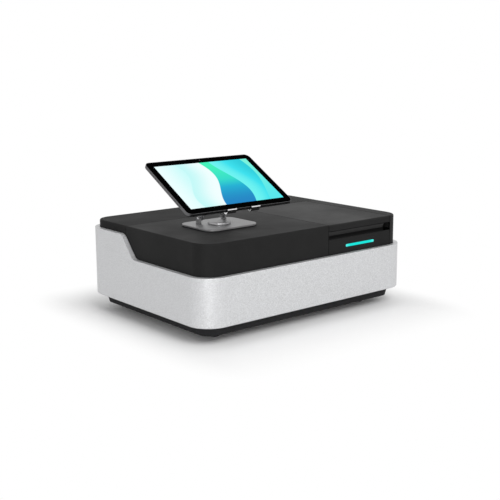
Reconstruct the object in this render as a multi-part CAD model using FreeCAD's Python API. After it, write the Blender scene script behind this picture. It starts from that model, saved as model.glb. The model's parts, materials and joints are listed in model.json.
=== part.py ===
import FreeCAD, Part
import math
import os

# Bench photometer for water samples. Millimetres, X to the right along the front, Y to the back,
# Z up, origin at the middle of the footprint on the bench top.

# Body envelope
body_width = 520.0
body_depth = 388.0
front_corner_radius = 46.0
rear_corner_radius = 42.0
foot_height = 15.6
band_bottom = 36.0
band_front_top = 126.0
band_rear_top = 170.0
deck_top = 185.0

# Ramp of the band between its low front and its high rear
ramp_low_from_back = 164.0
ramp_high_from_back = 126.0
ramp_low_y = body_depth / 2 - ramp_low_from_back
ramp_high_y = body_depth / 2 - ramp_high_from_back
ramp_radius = 19.0

# Walls and gaps
band_wall = 9.2
cover_wall = 3.0
fit_gap = 0.3
seam_gap = 1.2
pin_gap = 0.05
edge_radius = 3.0

# Seams of the deck
seam_from_back = 128.0
bay_width = 172.0
bay_from_right = 43.0
cross_seam_y = body_depth / 2 - seam_from_back
bay_right_x = body_width / 2 - bay_from_right
bay_left_x = bay_right_x - bay_width

# Base tray, skirt and feet
skirt_top_inset = 18.0
skirt_bottom_inset = 23.6
tray_floor = 4.0
tray_rim = 13.0
tray_flange = 3.0
foot_radius = 10.0
foot_from_side = 72.0
foot_from_end = 69.0
foot_x = body_width / 2 - foot_from_side
foot_y = body_depth / 2 - foot_from_end

# Finger recess and front panel of the sample bay
lid_lip = 13.3
lid_bottom = deck_top - lid_lip
panel_top = 156.3
panel_rim = 4.0
recess_depth = 17.0
recess_floor = 151.0
grip_low = 162.0
grip_setback = 2.4
grip_slope = 5.5
grip_thick = 3.0
grip_left_inset = 2.0
grip_right_inset = 14.0
status_x = (bay_left_x + bay_right_x) / 2
status_z = 140.0
status_length = 79.0
status_height = 5.0

# Sample lid and its gooseneck hinges
hinge_behind_seam = 18.0
hinge_below_deck = 6.6
hinge_y = cross_seam_y + hinge_behind_seam
hinge_z = deck_top - hinge_below_deck
hub_radius = 3.2
hinge_pin_radius = 1.6
neck_inner = 19.8
neck_outer = 25.0
neck_width = 6.0
neck_web = 5.0
lid_foot_length = 30.0
lid_foot_thick = 2.5
neck_inset = 10.0
liner_thick = 2.0
hinge_relief = 1.4
relief_depth = 1.5

# Sample well and cell carriage
beam_from_front = 134.0
beam_y = -body_depth / 2 + beam_from_front
beam_z = 140.0
well_from_side = 17.0
well_from_front = 44.0
well_from_seam = 16.0
well_left = bay_left_x + well_from_side
well_right = bay_right_x - well_from_side
well_front = -body_depth / 2 + well_from_front
well_back = cross_seam_y - well_from_seam
well_wall = 3.0
well_bottom = 109.0
shelf_z = 160.0
shelf_thick = 3.0
seal_height = 2.0
cell_size = 12.6
cell_pitch = 20.0
cell_count = 4
carriage_x = (well_left + well_right) / 2
carriage_width = 34.0
carriage_top = 158.0
rod_radius = 3.0
rod_offset = 11.0
screw_radius = 2.5

# Optical bench
bench_bottom = 96.0
bench_thick = 8.0
bench_from_left = 28.0
bench_from_bay = 5.0
bench_from_front = 38.0
bench_from_seam = 16.0
bench_left = -body_width / 2 + bench_from_left
bench_right = bay_left_x - bench_from_bay
bench_front = -body_depth / 2 + bench_from_front
bench_back = cross_seam_y - bench_from_seam
bench_inset = 18.0
pocket_depth = 4.0
isolator_height = 12.0
isolator_radius = 9.0
post_radius = 7.0

# Rear panel
window_half = 150.0
window_low = 58.0
window_high = 138.0
window_radius = 6.0
panel_recess = 4.0
frame_lap = 6.0
fan_from_left = 50.0
fan_x = -window_half + fan_from_left
fan_size = 60.0
fan_depth = 15.0
fan_z = 98.0
vent_pitch = 6.0
vent_width = 3.2
inlet_from_right = 38.0
inlet_pitch = 38.0
inlet_x = window_half - inlet_from_right
switch_x = inlet_x - inlet_pitch
port_z = 98.0
port_gap = 0.1

# Tablet stand
stand_from_left = 149.6
stand_from_front = 149.7
stand_x = -body_width / 2 + stand_from_left
stand_y = -body_depth / 2 + stand_from_front
plate_width = 122.5
plate_depth = 101.3
plate_radius = 21.7
pad_thick = 1.0
plate_thick = 3.0
cap_radius = 22.0
cap_height = 4.2
arm_spacing = 26.0
lower_pivot_back = 25.3
lower_pivot_rise = 12.5
upper_pivot_front = 8.5
upper_pivot_rise = 61.5
lower_pivot_y = stand_y + lower_pivot_back
lower_pivot_z = deck_top + lower_pivot_rise
upper_pivot_y = stand_y - upper_pivot_front
upper_pivot_z = deck_top + upper_pivot_rise
arm_thick = 5.0
arm_width = 9.0
ear_thick = 3.0
knuckle_radius = 5.0
stand_pin_radius = 2.0

# Tablet
tablet_width = 248.0
tablet_height = 161.0
tablet_thick = 7.4
tablet_radius = 11.0
tablet_tilt = 29.5
glass_front = 3.5
glass_rise = 82.9
glass_y = stand_y - glass_front
glass_z = deck_top + glass_rise
bezel = 14.4
glass_thick = 0.8
display_thick = 1.6
tablet_wall = 1.5
bracket_width = 84.0
bracket_height = 78.0
bracket_thick = 3.0
hook_offset = 28.0
hook_width = 21.0
hook_thick = 2.2
hook_lip = 1.5
hook_reach = 1.7

vec = FreeCAD.Vector
up = vec(0, 0, 1)
parts = {}


def on_xy(z):
    return lambda a, b: vec(a, b, z)


def on_yz(x):
    return lambda a, b: vec(x, a, b)


def on_xz(y):
    return lambda a, b: vec(a, y, b)


def rounded_wire(corners, place):
    """Closed wire through corners (a, b, radius), put in space by place."""
    count = len(corners)
    entry, exit_, middle = [], [], []
    for i, (a, b, radius) in enumerate(corners):
        here = vec(a, b, 0)
        before = vec(corners[i - 1][0], corners[i - 1][1], 0) - here
        after = vec(corners[(i + 1) % count][0], corners[(i + 1) % count][1], 0) - here
        before.normalize()
        after.normalize()
        half = before.getAngle(after) / 2
        if radius <= 0 or abs(half - math.pi / 2) < 1e-6:
            entry.append(here)
            exit_.append(here)
            middle.append(None)
            continue
        reach = radius / math.tan(half)
        bisector = before + after
        bisector.normalize()
        entry.append(here + before * reach)
        exit_.append(here + after * reach)
        middle.append(here + bisector * (radius / math.sin(half) - radius))
    edges = []
    for i in range(count):
        if middle[i] is not None:
            arc = [place(p.x, p.y) for p in (entry[i], middle[i], exit_[i])]
            edges.append(Part.Arc(*arc).toShape())
        start, end = exit_[i], entry[(i + 1) % count]
        if start.distanceToPoint(end) > 1e-6:
            edges.append(Part.LineSegment(place(start.x, start.y), place(end.x, end.y)).toShape())
    return Part.Wire(edges)


def prism(corners, place, along):
    """Solid made by sweeping a rounded polygon along a vector."""
    return Part.Face(rounded_wire(corners, place)).extrude(along)


def block(x0, x1, y0, y1, z0, z1, radius=0.0):
    """Upright box, with rounded vertical edges if radius is given."""
    if radius:
        corners = [(x0, y0, radius), (x1, y0, radius), (x1, y1, radius), (x0, y1, radius)]
        return prism(corners, on_xy(z0), vec(0, 0, z1 - z0))
    return Part.makeBox(x1 - x0, y1 - y0, z1 - z0, vec(x0, y0, z0))


def rod(x, y, z, radius, length, axis=up):
    return Part.makeCylinder(radius, length, vec(x, y, z), axis)


def tube(x, y, z, outer, inner, length, axis=up):
    return rod(x, y, z, outer, length, axis).cut(rod(x, y, z, inner, length, axis))


def joined(shapes):
    """One solid from shapes that touch or overlap."""
    first = shapes[0].fuse(shapes[1:]) if len(shapes) > 1 else shapes[0]
    return first.removeSplitter()


def group(shapes):
    """Separate solids kept together as one piece group."""
    return Part.makeCompound([solid for shape in shapes for solid in shape.Solids])


def outline(inset, z):
    """Footprint of the body, drawn in by inset."""
    x = body_width / 2 - inset
    y = body_depth / 2 - inset
    front = front_corner_radius - inset
    rear = rear_corner_radius - inset
    return rounded_wire([(-x, -y, front), (x, -y, front), (x, y, rear), (-x, y, rear)], on_xy(z))


def slab(inset, z0, z1):
    """Footprint solid between two heights."""
    return Part.Face(outline(inset, z0)).extrude(vec(0, 0, z1 - z0))


def ring(outer_inset, inner_inset, z0, z1):
    return slab(outer_inset, z0, z1).cut(slab(inner_inset, z0, z1))


housing_inset = band_wall + fit_gap
housing_inner = housing_inset + cover_wall
front_y = -body_depth / 2 + housing_inset
back_y = body_depth / 2 - housing_inset
side_x = body_width / 2 - housing_inset
rim_top = band_bottom + tray_flange + tray_rim
half_seam = seam_gap / 2


def rear_window(grow, y0, y1):
    """Solid that fills the rear window, grown by a margin."""
    x = window_half + grow
    low = window_low - grow
    high = window_high + grow
    radius = window_radius + grow
    corners = [(-x, low, radius), (x, low, radius), (x, high, radius), (-x, high, radius)]
    return prism(corners, on_xz(y0), vec(0, y1 - y0, 0))


def outer_band():
    body = slab(0, band_bottom, band_rear_top)
    hollow = slab(band_wall, band_bottom + tray_flange, band_rear_top)
    throat = slab(skirt_top_inset - fit_gap, band_bottom, band_bottom + tray_flange)
    far = body_depth
    above = band_rear_top + ramp_radius
    corners = [(-far, band_front_top, 0), (ramp_low_y, band_front_top, ramp_radius),
               (ramp_high_y, band_rear_top, ramp_radius), (far, band_rear_top, 0),
               (far, above, 0), (-far, above, 0)]
    over = prism(corners, on_yz(-body_width), vec(2 * body_width, 0, 0))
    band = body.cut(hollow).cut(throat).cut(over)
    band = band.cut(rear_window(0, 0, body_depth))
    outer = [e for e in band.Edges if e.BoundBox.ZMax < band_bottom + 0.01
             and abs(e.BoundBox.YMin + body_depth / 2) < front_corner_radius + 1
             and e.BoundBox.ZMin > band_bottom - 0.01
             and (e.BoundBox.XMin < -body_width / 2 + 1 or e.BoundBox.XMax > body_width / 2 - 1
                  or e.BoundBox.YMin < -body_depth / 2 + 1)]
    return band.makeChamfer(1.0, outer) if outer else band


def base_tray():
    """Tapered skirt with a floor, a flange over the band's lip and a rim that carries the covers."""
    bottom, top = outline(skirt_bottom_inset, foot_height), outline(skirt_top_inset, band_bottom)
    skirt = Part.makeLoft([bottom, top], True)
    inner = slab(skirt_bottom_inset + tray_floor, foot_height + tray_floor, band_bottom)
    lip_z = band_bottom + tray_flange
    neck = ring(skirt_top_inset, skirt_bottom_inset + tray_floor, band_bottom, lip_z)
    flange = ring(housing_inset, skirt_bottom_inset + tray_floor, lip_z, lip_z + tray_flange)
    rim = ring(housing_inset, housing_inner, lip_z + tray_flange, rim_top)
    return joined([skirt.cut(inner), neck, flange, rim])


def feet():
    spots = [(sx * foot_x, sy * foot_y) for sx in (-1, 1) for sy in (-1, 1)]
    made = []
    for x, y in spots:
        foot = rod(x, y, 0, foot_radius, foot_height)
        lower = [e for e in foot.Edges if e.BoundBox.ZMax < 0.01]
        foot = foot.makeFillet(1.5, lower)
        bore = rod(x, y, 4, 4.5, foot_height)
        made.append(foot.cut(bore))
    return group(made)


def foot_screws():
    made = []
    for sx in (-1, 1):
        for sy in (-1, 1):
            head = rod(sx * foot_x, sy * foot_y, 4, 4.2, 3.0)
            shank = rod(sx * foot_x, sy * foot_y, 7.0, 2.0, foot_height - 7.0)
            made.append(joined([head, shank]))
    return group(made)


def housing():
    """Whole black upper housing as one thin shell, before it is parted at its seams."""
    outside = slab(housing_inset, rim_top, deck_top)
    top = [e for e in outside.Edges if e.BoundBox.ZMin > deck_top - 0.01]
    outside = outside.makeFillet(edge_radius, top)
    inside = slab(housing_inner, rim_top, deck_top - cover_wall)
    return outside.cut(inside)


shell = housing()
far = body_width


def front_cover():
    cut_x = bay_left_x - half_seam
    cut_y = cross_seam_y - half_seam
    cover = shell.common(block(-far, cut_x, -far, cut_y, rim_top, deck_top))
    wall_low = shelf_z
    inner_front = front_y + cover_wall
    bay_wall = block(cut_x - cover_wall, cut_x, inner_front, cut_y, wall_low, deck_top - cover_wall)
    return joined([cover, bay_wall])


def rear_cover():
    cut_y = cross_seam_y + half_seam
    cover = shell.common(block(-far, far, cut_y, far, rim_top, deck_top))
    return cover.cut(rear_window(frame_lap, 0, body_depth))


def side_cover():
    cut_x = bay_right_x + half_seam
    cut_y = cross_seam_y - half_seam
    cover = shell.common(block(cut_x, far, -far, cut_y, rim_top, deck_top))
    inner_front = front_y + cover_wall
    bay_wall = block(cut_x, cut_x + cover_wall, inner_front, cut_y, shelf_z, deck_top - cover_wall)
    return joined([cover, bay_wall])


def status_slot(gap, y0, y1):
    half = status_length / 2 + gap
    tall = status_height / 2 + gap
    radius = tall - 0.01
    corners = [(status_x - half, status_z - tall, radius), (status_x + half, status_z - tall, radius),
               (status_x + half, status_z + tall, radius), (status_x - half, status_z + tall, radius)]
    return prism(corners, on_xz(y0), vec(0, y1 - y0, 0))


def front_panel():
    """Face of the sample bay, with the channel of the finger recess behind its rim."""
    x0 = bay_left_x + half_seam
    x1 = bay_right_x - half_seam
    back = front_y + recess_depth
    wall = cover_wall
    rim_y = front_y + panel_rim
    corners = [(front_y, rim_top, 0), (front_y, panel_top, 0.8), (rim_y, panel_top, 1.2),
               (rim_y + 1.0, recess_floor, 2.0), (back, recess_floor, 4.0), (back, lid_bottom - fit_gap, 0),
               (back + wall, lid_bottom - fit_gap, 0), (back + wall, recess_floor - wall, 7.0),
               (front_y + wall, recess_floor - wall, 0), (front_y + wall, rim_top, 0)]
    panel = prism(corners, on_yz(x0), vec(x1 - x0, 0, 0))
    panel = panel.cut(status_slot(0.1, front_y - 1, front_y + wall + 1))
    bosses = []
    for side in (-1, 1):
        x = status_x + side * (status_length / 2 + 8)
        bosses.append(rod(x, front_y + wall, status_z, 3.0, 5.0, vec(0, 1, 0)))
    return joined([panel] + bosses)


def status_light():
    """Light guide that shows as a bar in the front panel."""
    front = status_slot(0, front_y, front_y + cover_wall + 0.5)
    half = status_length / 2 + 1.5
    tall = status_height / 2 + 1.5
    y0 = front_y + cover_wall + 0.5
    back = block(status_x - half, status_x + half, y0, y0 + 2.0, status_z - tall, status_z + tall)
    return joined([front, back])


def status_board():
    half = status_length / 2 + 12
    y0 = front_y + cover_wall + 5.0
    board = block(status_x - half, status_x + half, y0, y0 + 1.6, status_z - 7, status_z + 7)
    lights = []
    for i in range(8):
        x = status_x + (i - 3.5) * status_length / 8
        lights.append(block(x - 1.7, x + 1.7, y0 - 1.4, y0, status_z - 1.5, status_z + 1.5))
    return joined([board] + lights)


lid_x0 = bay_left_x + half_seam
lid_x1 = bay_right_x - half_seam
lid_y1 = cross_seam_y - half_seam
neck_xs = (bay_left_x + neck_inset, bay_right_x - neck_inset)
across = vec(1, 0, 0)
along_y = vec(0, 1, 0)
foot_screw_ys = (cross_seam_y - lid_foot_length + 5, cross_seam_y - lid_foot_length + 17)


def lid_screw_holes(radius, z0, z1):
    return [rod(x, y, z0, radius, z1 - z0) for x in neck_xs for y in foot_screw_ys]


def lid_grip():
    """Undercut strip behind the lid's front lip, for the finger tips."""
    y0 = front_y + grip_setback
    y1 = y0 + grip_slope
    x0, x1 = lid_x0 + grip_left_inset, lid_x1 - grip_right_inset
    root = lid_bottom + liner_thick + 1.0
    corners = [(y0, root, 0), (y0, lid_bottom, 0), (y1, grip_low, 1.0), (y1 + grip_thick, grip_low, 1.4),
               (y1 + grip_thick, root, 0)]
    return prism(corners, on_yz(x0), vec(x1 - x0, 0, 0))


def sample_lid():
    outside = block(lid_x0, lid_x1, front_y, lid_y1, lid_bottom, deck_top)
    front_edges = [e for e in outside.Edges if e.BoundBox.ZMin > deck_top - 0.01
                   and e.BoundBox.YMax < front_y + 0.01]
    outside = outside.makeFillet(edge_radius, front_edges)
    edge = deck_top - relief_depth
    relief_y = lid_y1 - hinge_relief
    corners = [(lid_y1, edge, 0), (relief_y, edge - 3.5, 0), (relief_y, lid_bottom - 1, 0),
               (lid_y1 + 1, lid_bottom - 1, 0), (lid_y1 + 1, edge, 0)]
    outside = outside.cut(prism(corners, on_yz(lid_x0 - 1), vec(lid_x1 - lid_x0 + 2, 0, 0)))
    wall = cover_wall
    inside_y1 = relief_y - wall
    inside = block(lid_x0 + wall, lid_x1 - wall, front_y + wall, inside_y1, lid_bottom, deck_top - wall)
    return joined([outside.cut(inside), lid_grip()])


def lid_liner():
    """Inner sheet that closes the lid from below."""
    gap = cover_wall + fit_gap / 2
    back = lid_y1 - hinge_relief - gap
    front = front_y + grip_setback + grip_slope + grip_thick + fit_gap
    sheet = block(lid_x0 + gap, lid_x1 - gap, front, back, lid_bottom, lid_bottom + liner_thick)
    rib_low = lid_bottom + liner_thick
    rib_high = deck_top - cover_wall
    ribs = [block(x - 1, x + 1, front + 4, lid_y1 - 8, rib_low, rib_high)
            for x in (lid_x0 + 40, status_x, lid_x1 - 40)]
    return joined([sheet.cut(group(lid_screw_holes(1.3, lid_bottom, rib_low)))] + ribs)


def gooseneck(x):
    """Curved hinge arm that reaches round the front edge of the rear cover."""
    x0 = x - neck_width / 2
    bend = tube(x0, hinge_y, hinge_z, neck_outer, neck_inner, neck_width, across)
    low = hinge_z - neck_outer - 1
    y0, y1 = hinge_y - neck_outer - 1, hinge_y + neck_web / 2
    bend = bend.common(block(x0, x0 + neck_width, y0, y1, low, lid_bottom))
    web = block(x0, x0 + neck_width, hinge_y - neck_web / 2, hinge_y + neck_web / 2,
                hinge_z - neck_inner - 1, hinge_z)
    hub = rod(x0, hinge_y, hinge_z, hub_radius, neck_width, across)
    drop = hinge_z - lid_bottom
    foot_end = hinge_y - math.sqrt(neck_inner ** 2 - drop ** 2)
    foot_start = cross_seam_y - lid_foot_length
    foot = block(x0, x0 + neck_width, foot_start, foot_end, lid_bottom - lid_foot_thick, lid_bottom)
    arm = joined([bend, web, hub, foot])
    arm = arm.cut(rod(x0, hinge_y, hinge_z, hinge_pin_radius + pin_gap, neck_width, across))
    return arm.cut(group(lid_screw_holes(1.3, lid_bottom - lid_foot_thick, lid_bottom)))


def lid_screws():
    made = []
    for x in neck_xs:
        for y in foot_screw_ys:
            under = lid_bottom - lid_foot_thick
            head = rod(x, y, under - 1.4, 2.2, 1.4)
            shank = rod(x, y, under, 1.2, lid_foot_thick + liner_thick)
            made.append(joined([head, shank]))
    return group(made)


frame_below_hinge = 30.4
frame_reach = 14.0
frame_from_side = 28.0
frame_top = hinge_z - frame_below_hinge
frame_y0 = hinge_y - frame_reach
frame_y1 = hinge_y + frame_reach
frame_half = body_width / 2 - frame_from_side
frame_sheet = 3.0
floor_z = foot_height + tray_floor
bracket_gap = 0.5
bracket_ear = 2.5
bracket_base = 2.5


def hinge_bracket(x):
    inner = neck_width / 2 + bracket_gap
    outer = inner + bracket_ear
    base = block(x - outer, x + outer, hinge_y - 8, hinge_y + 8, frame_top, frame_top + bracket_base)
    ears = []
    for x0 in (x - outer, x + inner):
        corners = [(hinge_y - 8, frame_top, 0), (hinge_y + 8, frame_top, 0),
                   (hinge_y + hub_radius, hinge_z + hub_radius, 2.5),
                   (hinge_y - hub_radius, hinge_z + hub_radius, 2.5)]
        ears.append(prism(corners, on_yz(x0), vec(bracket_ear, 0, 0)))
    bracket = joined([base] + ears)
    return bracket.cut(rod(x - outer, hinge_y, hinge_z, hinge_pin_radius, 2 * outer, across))


def lid_hinge_pins():
    half = neck_width / 2 + bracket_gap + bracket_ear
    return group([rod(x - half, hinge_y, hinge_z, hinge_pin_radius, 2 * half, across) for x in neck_xs])


def rear_frame():
    """Bridge of bent sheet that carries the lid hinges."""
    x = frame_half
    t = frame_sheet
    corners = [(-x, floor_z, 0), (-x + 20, floor_z, 0), (-x + 20, floor_z + t, 0), (-x + t, floor_z + t, 0),
               (-x + t, frame_top - t, 4), (x - t, frame_top - t, 4), (x - t, floor_z + t, 0),
               (x - 20, floor_z + t, 0), (x - 20, floor_z, 0), (x, floor_z, 0), (x, frame_top, 6),
               (-x, frame_top, 6)]
    return prism(corners, on_xz(frame_y0), vec(0, frame_y1 - frame_y0, 0))


rim_z = lid_bottom - fit_gap - seal_height
well_floor = well_bottom + well_wall
slide_xs = (carriage_x - rod_offset, carriage_x + rod_offset)
slide_rise = 4.2
carriage_gap = 0.5
slot_rise = 10.0
carriage_end = 3.0
slide_z = well_floor + slide_rise
carriage_low = well_floor + carriage_gap
slot_floor = well_floor + slot_rise
carriage_half = cell_count * cell_pitch / 2 + carriage_end


def window_bore(x, length, radius):
    return rod(x, beam_y, beam_z, radius, length, across)


def sample_well():
    """Open compartment below the lid, with a shelf round its rim."""
    outside = block(well_left, well_right, well_front, well_back, well_bottom, rim_z, 4.0)
    shelf_y0 = front_y + recess_depth + cover_wall + fit_gap
    shelf = block(lid_x0 + 0.4, lid_x1 - 0.4, shelf_y0, cross_seam_y - 4, shelf_z, shelf_z + shelf_thick, 1.0)
    w = well_wall
    inside = block(well_left + w, well_right - w, well_front + w, well_back - w, well_floor, rim_z, 2.0)
    well = joined([outside, shelf]).cut(inside)
    well = well.cut(window_bore(well_left - 1, well_right - well_left + 2, 6.0))
    for x in slide_xs:
        well = well.cut(rod(x, well_front + 1, slide_z, rod_radius, well_back - well_front - 2, along_y))
    screw_bore = rod(carriage_x, well_front + 1, slide_z, screw_radius + pin_gap, well_back - well_front, along_y)
    return well.cut(screw_bore)


def lid_seal():
    inset = (well_wall - 2.0) / 2
    x0, x1, y0, y1 = well_left + inset, well_right - inset, well_front + inset, well_back - inset
    outside = block(x0, x1, y0, y1, rim_z, rim_z + seal_height, 3.5)
    return outside.cut(block(x0 + 2, x1 - 2, y0 + 2, y1 - 2, rim_z, rim_z + seal_height, 1.5))


def well_window(x):
    return window_bore(x, well_wall, 6.0)


def guide_rods():
    length = well_back - well_front - 2
    return group([rod(x, well_front + 1, slide_z, rod_radius, length, along_y) for x in slide_xs])


def slot_centres():
    return [beam_y + (i - (cell_count - 1) / 2) * cell_pitch for i in range(cell_count)]


def cell_carriage():
    """Sliding block that brings each cell into the beam."""
    x0 = carriage_x - carriage_width / 2
    x1 = carriage_x + carriage_width / 2
    y0 = beam_y - carriage_half
    y1 = beam_y + carriage_half
    made = block(x0, x1, y0, y1, carriage_low, carriage_top, 2.0)
    half = cell_size / 2
    for y in slot_centres():
        x2, x3 = carriage_x - half, carriage_x + half
        made = made.cut(block(x2, x3, y - half, y + half, slot_floor, carriage_top))
        made = made.cut(rod(x0 - 1, y, beam_z, 3.0, carriage_width + 2, across))
    for x in slide_xs:
        made = made.cut(rod(x, y0 - 1, slide_z, rod_radius + pin_gap, y1 - y0 + 2, along_y))
    return made.cut(rod(carriage_x, y0 - 1, slide_z, screw_radius + pin_gap, y1 - y0 + 2, along_y))


motor_half = 12.5
motor_length = 26.0


def drive_screw():
    start = well_front + 1.2
    return rod(carriage_x, start, slide_z, screw_radius, well_back + 8 - start, along_y)


def carriage_motor():
    body = block(carriage_x - motor_half, carriage_x + motor_half, well_back, well_back + motor_length,
                 slide_z - motor_half, slide_z + motor_half)
    edges = [e for e in body.Edges if e.BoundBox.YLength > motor_length - 0.1]
    body = body.makeChamfer(3.0, edges)
    return body.cut(rod(carriage_x, well_back, slide_z, screw_radius + pin_gap, 9.0, along_y))


def well_posts():
    made = []
    for x in (well_left + 16, well_right - 16):
        for y in (well_front + 16, well_back - 16):
            made.append(rod(x, y, floor_z, post_radius, well_bottom - floor_z))
    return group(made)


def detector_housing():
    """Light detector on the far side of the well."""
    x0 = well_right
    body = block(x0, x0 + 12, beam_y - 18, beam_y + 18, beam_z - 18, beam_z + 18)
    barrel = rod(x0 + 12, beam_y, beam_z, 12.0, 14.0, across)
    bore = window_bore(x0, 18.0, 5.0)
    return joined([body, barrel]).cut(bore)


def detector_board():
    x0 = well_right + 26
    board = block(x0, x0 + 1.6, beam_y - 16, beam_y + 16, beam_z - 16, beam_z + 16)
    chip = block(x0 + 1.6, x0 + 3.6, beam_y - 6, beam_y + 6, beam_z - 6, beam_z + 6)
    return joined([board, chip])


bench_top = bench_bottom + bench_thick
bench_posts = [(x, y) for x in (bench_left + bench_inset, bench_right - bench_inset)
               for y in (bench_front + bench_inset, bench_back - bench_inset)]
lamp_from_edge = 22.0
lamp_x = bench_right - lamp_from_edge
lamp_y = bench_back - lamp_from_edge
lamp_half = 20.0
lamp_wall = 3.0
lamp_head = 34.0
lamp_window = 8.0
lamp_slot_pitch = 5.5
lamp_slot_height = 2.5
mirror_from_left = 26.0
mirror_x = bench_left + mirror_from_left
mirror_radius = 22.0
mirror_thick = 7.0
mirror_edge = 5.0
mirror_curve = 150.0
wheel_from_lamp = 38.0
wheel_x = lamp_x - wheel_from_lamp
wheel_thick = 4.0
filter_reach = 22.0
wheel_y = lamp_y - filter_reach
wheel_radius = 30.0
filter_radius = 7.0
filter_count = 6
wheel_shaft = 2.5
wheel_shaft_length = 8.0
wheel_hub = 6.0
hub_thick = 2.0
motor_can = 10.0
motor_can_length = 20.0
grating_from_lamp = 62.0
grating_from_wheel = 30.0
entrance_from_lamp = 68.0
exit_from_edge = 12.0
grating_x = lamp_x - grating_from_lamp
grating_y = wheel_y - grating_from_wheel
entrance_x = lamp_x - entrance_from_lamp
exit_x = bench_right - exit_from_edge
slit_thick = 3.0
turret_shaft = 3.0


def optical_bench():
    top = block(bench_left, bench_right, bench_front, bench_back, bench_bottom, bench_top, 10.0)
    pocket_top = bench_bottom + pocket_depth
    middle_x = (bench_left + bench_right) / 2
    middle_y = (bench_front + bench_back) / 2
    pockets = []
    for x0, x1 in ((bench_left + 34, middle_x - 4), (middle_x + 4, bench_right - 34)):
        for y0, y1 in ((bench_front + 34, middle_y - 4), (middle_y + 4, bench_back - 34)):
            pockets.append(block(x0, x1, y0, y1, bench_bottom, pocket_top, 6.0))
    plate = top.cut(group(pockets))
    return plate.cut(rod(grating_x, grating_y, bench_bottom - 1, turret_shaft + pin_gap, bench_thick + 2))


def bench_columns():
    height = bench_bottom - isolator_height - floor_z
    return group([rod(x, y, floor_z, post_radius, height) for x, y in bench_posts])


def isolators():
    made = []
    z0 = bench_bottom - isolator_height
    for x, y in bench_posts:
        drum = rod(x, y, z0, isolator_radius, isolator_height)
        waist = tube(x, y, z0 + 4, isolator_radius + 1, isolator_radius - 1.5, 4)
        made.append(drum.cut(waist))
    return group(made)


def lamp_house():
    x0, x1 = lamp_x - lamp_half, lamp_x + lamp_half
    y0, y1 = lamp_y - lamp_half, lamp_y + lamp_half
    w = lamp_wall
    top = beam_z + lamp_head
    case = block(x0, x1, y0, y1, bench_top, top).cut(block(x0 + w, x1 - w, y0 + w, y1 - w, bench_top + w, top - w))
    case = case.cut(rod(x0 - 1, lamp_y, beam_z, lamp_window, w + 2, across))
    for i in range(5):
        z = beam_z + 4 + i * lamp_slot_pitch
        case = case.cut(block(x0 + 8, x1 - 8, y1 - w, y1, z, z + lamp_slot_height))
    return case


def lamp_socket():
    base = bench_top + lamp_wall
    return joined([rod(lamp_x, lamp_y, base, 9.0, 8.0), rod(lamp_x, lamp_y, base + 8, 6.5, 8.0)])


def lamp_bulb():
    base = bench_top + lamp_wall + 16.0
    stem = rod(lamp_x, lamp_y, base, 4.0, beam_z - base)
    return joined([stem, Part.makeSphere(6.5, vec(lamp_x, lamp_y, beam_z))])


def condenser_lens():
    """Lens in the window of the lamp house."""
    disc = rod(lamp_x - lamp_half, lamp_y, beam_z, lamp_window, lamp_wall, across)
    dome = Part.makeSphere(14.0, vec(lamp_x - lamp_half + 11.5, lamp_y, beam_z))
    cap = dome.common(rod(lamp_x - lamp_half - 4, lamp_y, beam_z, lamp_window, 4, across))
    return joined([disc, cap])


def filter_spots():
    turns = [2 * math.pi * i / filter_count for i in range(filter_count)]
    return [(wheel_y + filter_reach * math.cos(t), beam_z + filter_reach * math.sin(t)) for t in turns]


def filter_wheel():
    wheel = rod(wheel_x, wheel_y, beam_z, wheel_radius, wheel_thick, across)
    for y, z in filter_spots():
        wheel = wheel.cut(rod(wheel_x, y, z, filter_radius, wheel_thick, across))
    hub = rod(wheel_x - hub_thick, wheel_y, beam_z, wheel_hub, hub_thick, across)
    shaft_x = wheel_x - hub_thick - wheel_shaft_length
    shaft = rod(shaft_x, wheel_y, beam_z, wheel_shaft, wheel_shaft_length, across)
    return joined([wheel, hub, shaft])


def filter_glasses():
    return group([rod(wheel_x + 1, y, z, filter_radius, wheel_thick - 2, across) for y, z in filter_spots()])


def wheel_motor():
    """Motor of the filter wheel with the foot that holds it to the bench."""
    x1 = wheel_x - 2 * hub_thick
    x0 = x1 - motor_can_length
    whole = rod(x0, wheel_y, beam_z, motor_can, motor_can_length, across)
    foot = block(x0 + 6, x0 + 14, wheel_y - 9, wheel_y + 9, bench_top, beam_z - 8)
    bore_x = x1 - wheel_shaft_length
    bore = rod(bore_x, wheel_y, beam_z, wheel_shaft + pin_gap, wheel_shaft_length, across)
    return joined([whole, foot]).cut(bore)


def slit_plate(x, y):
    plate = block(x, x + slit_thick, y - 12, y + 12, bench_top, beam_z + 16)
    foot = block(x, x + 12, y - 12, y + 12, bench_top, bench_top + 3)
    slit = block(x - 1, x + 4, y - 0.6, y + 0.6, beam_z - 6, beam_z + 6)
    return joined([plate, foot]).cut(slit)


def mirror_mount(y):
    back = block(mirror_x - 5, mirror_x, y - 26, y + 26, bench_top, beam_z + 26, 0)
    foot = block(mirror_x - 5, mirror_x + 20, y - 20, y + 20, bench_top, bench_top + 5)
    return joined([back, foot])


def curved_mirror(y):
    disc = rod(mirror_x, y, beam_z, mirror_radius, mirror_thick, across)
    ball = Part.makeSphere(mirror_curve, vec(mirror_x + mirror_edge + mirror_curve, y, beam_z))
    return disc.cut(ball)


def grating_turret():
    """Turning table with the grating block on it."""
    shaft = rod(grating_x, grating_y, bench_bottom - 6, turret_shaft, bench_thick + 8)
    table = rod(grating_x, grating_y, bench_top + 1, 13.0, 5.0)
    holder = block(grating_x + 1, grating_x + 6, grating_y - 12, grating_y + 12, bench_top + 6, beam_z + 15)
    return joined([shaft, table, holder])


def grating_block():
    return block(grating_x - 7, grating_x + 1, grating_y - 11, grating_y + 11, beam_z - 13, beam_z + 13)


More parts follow.
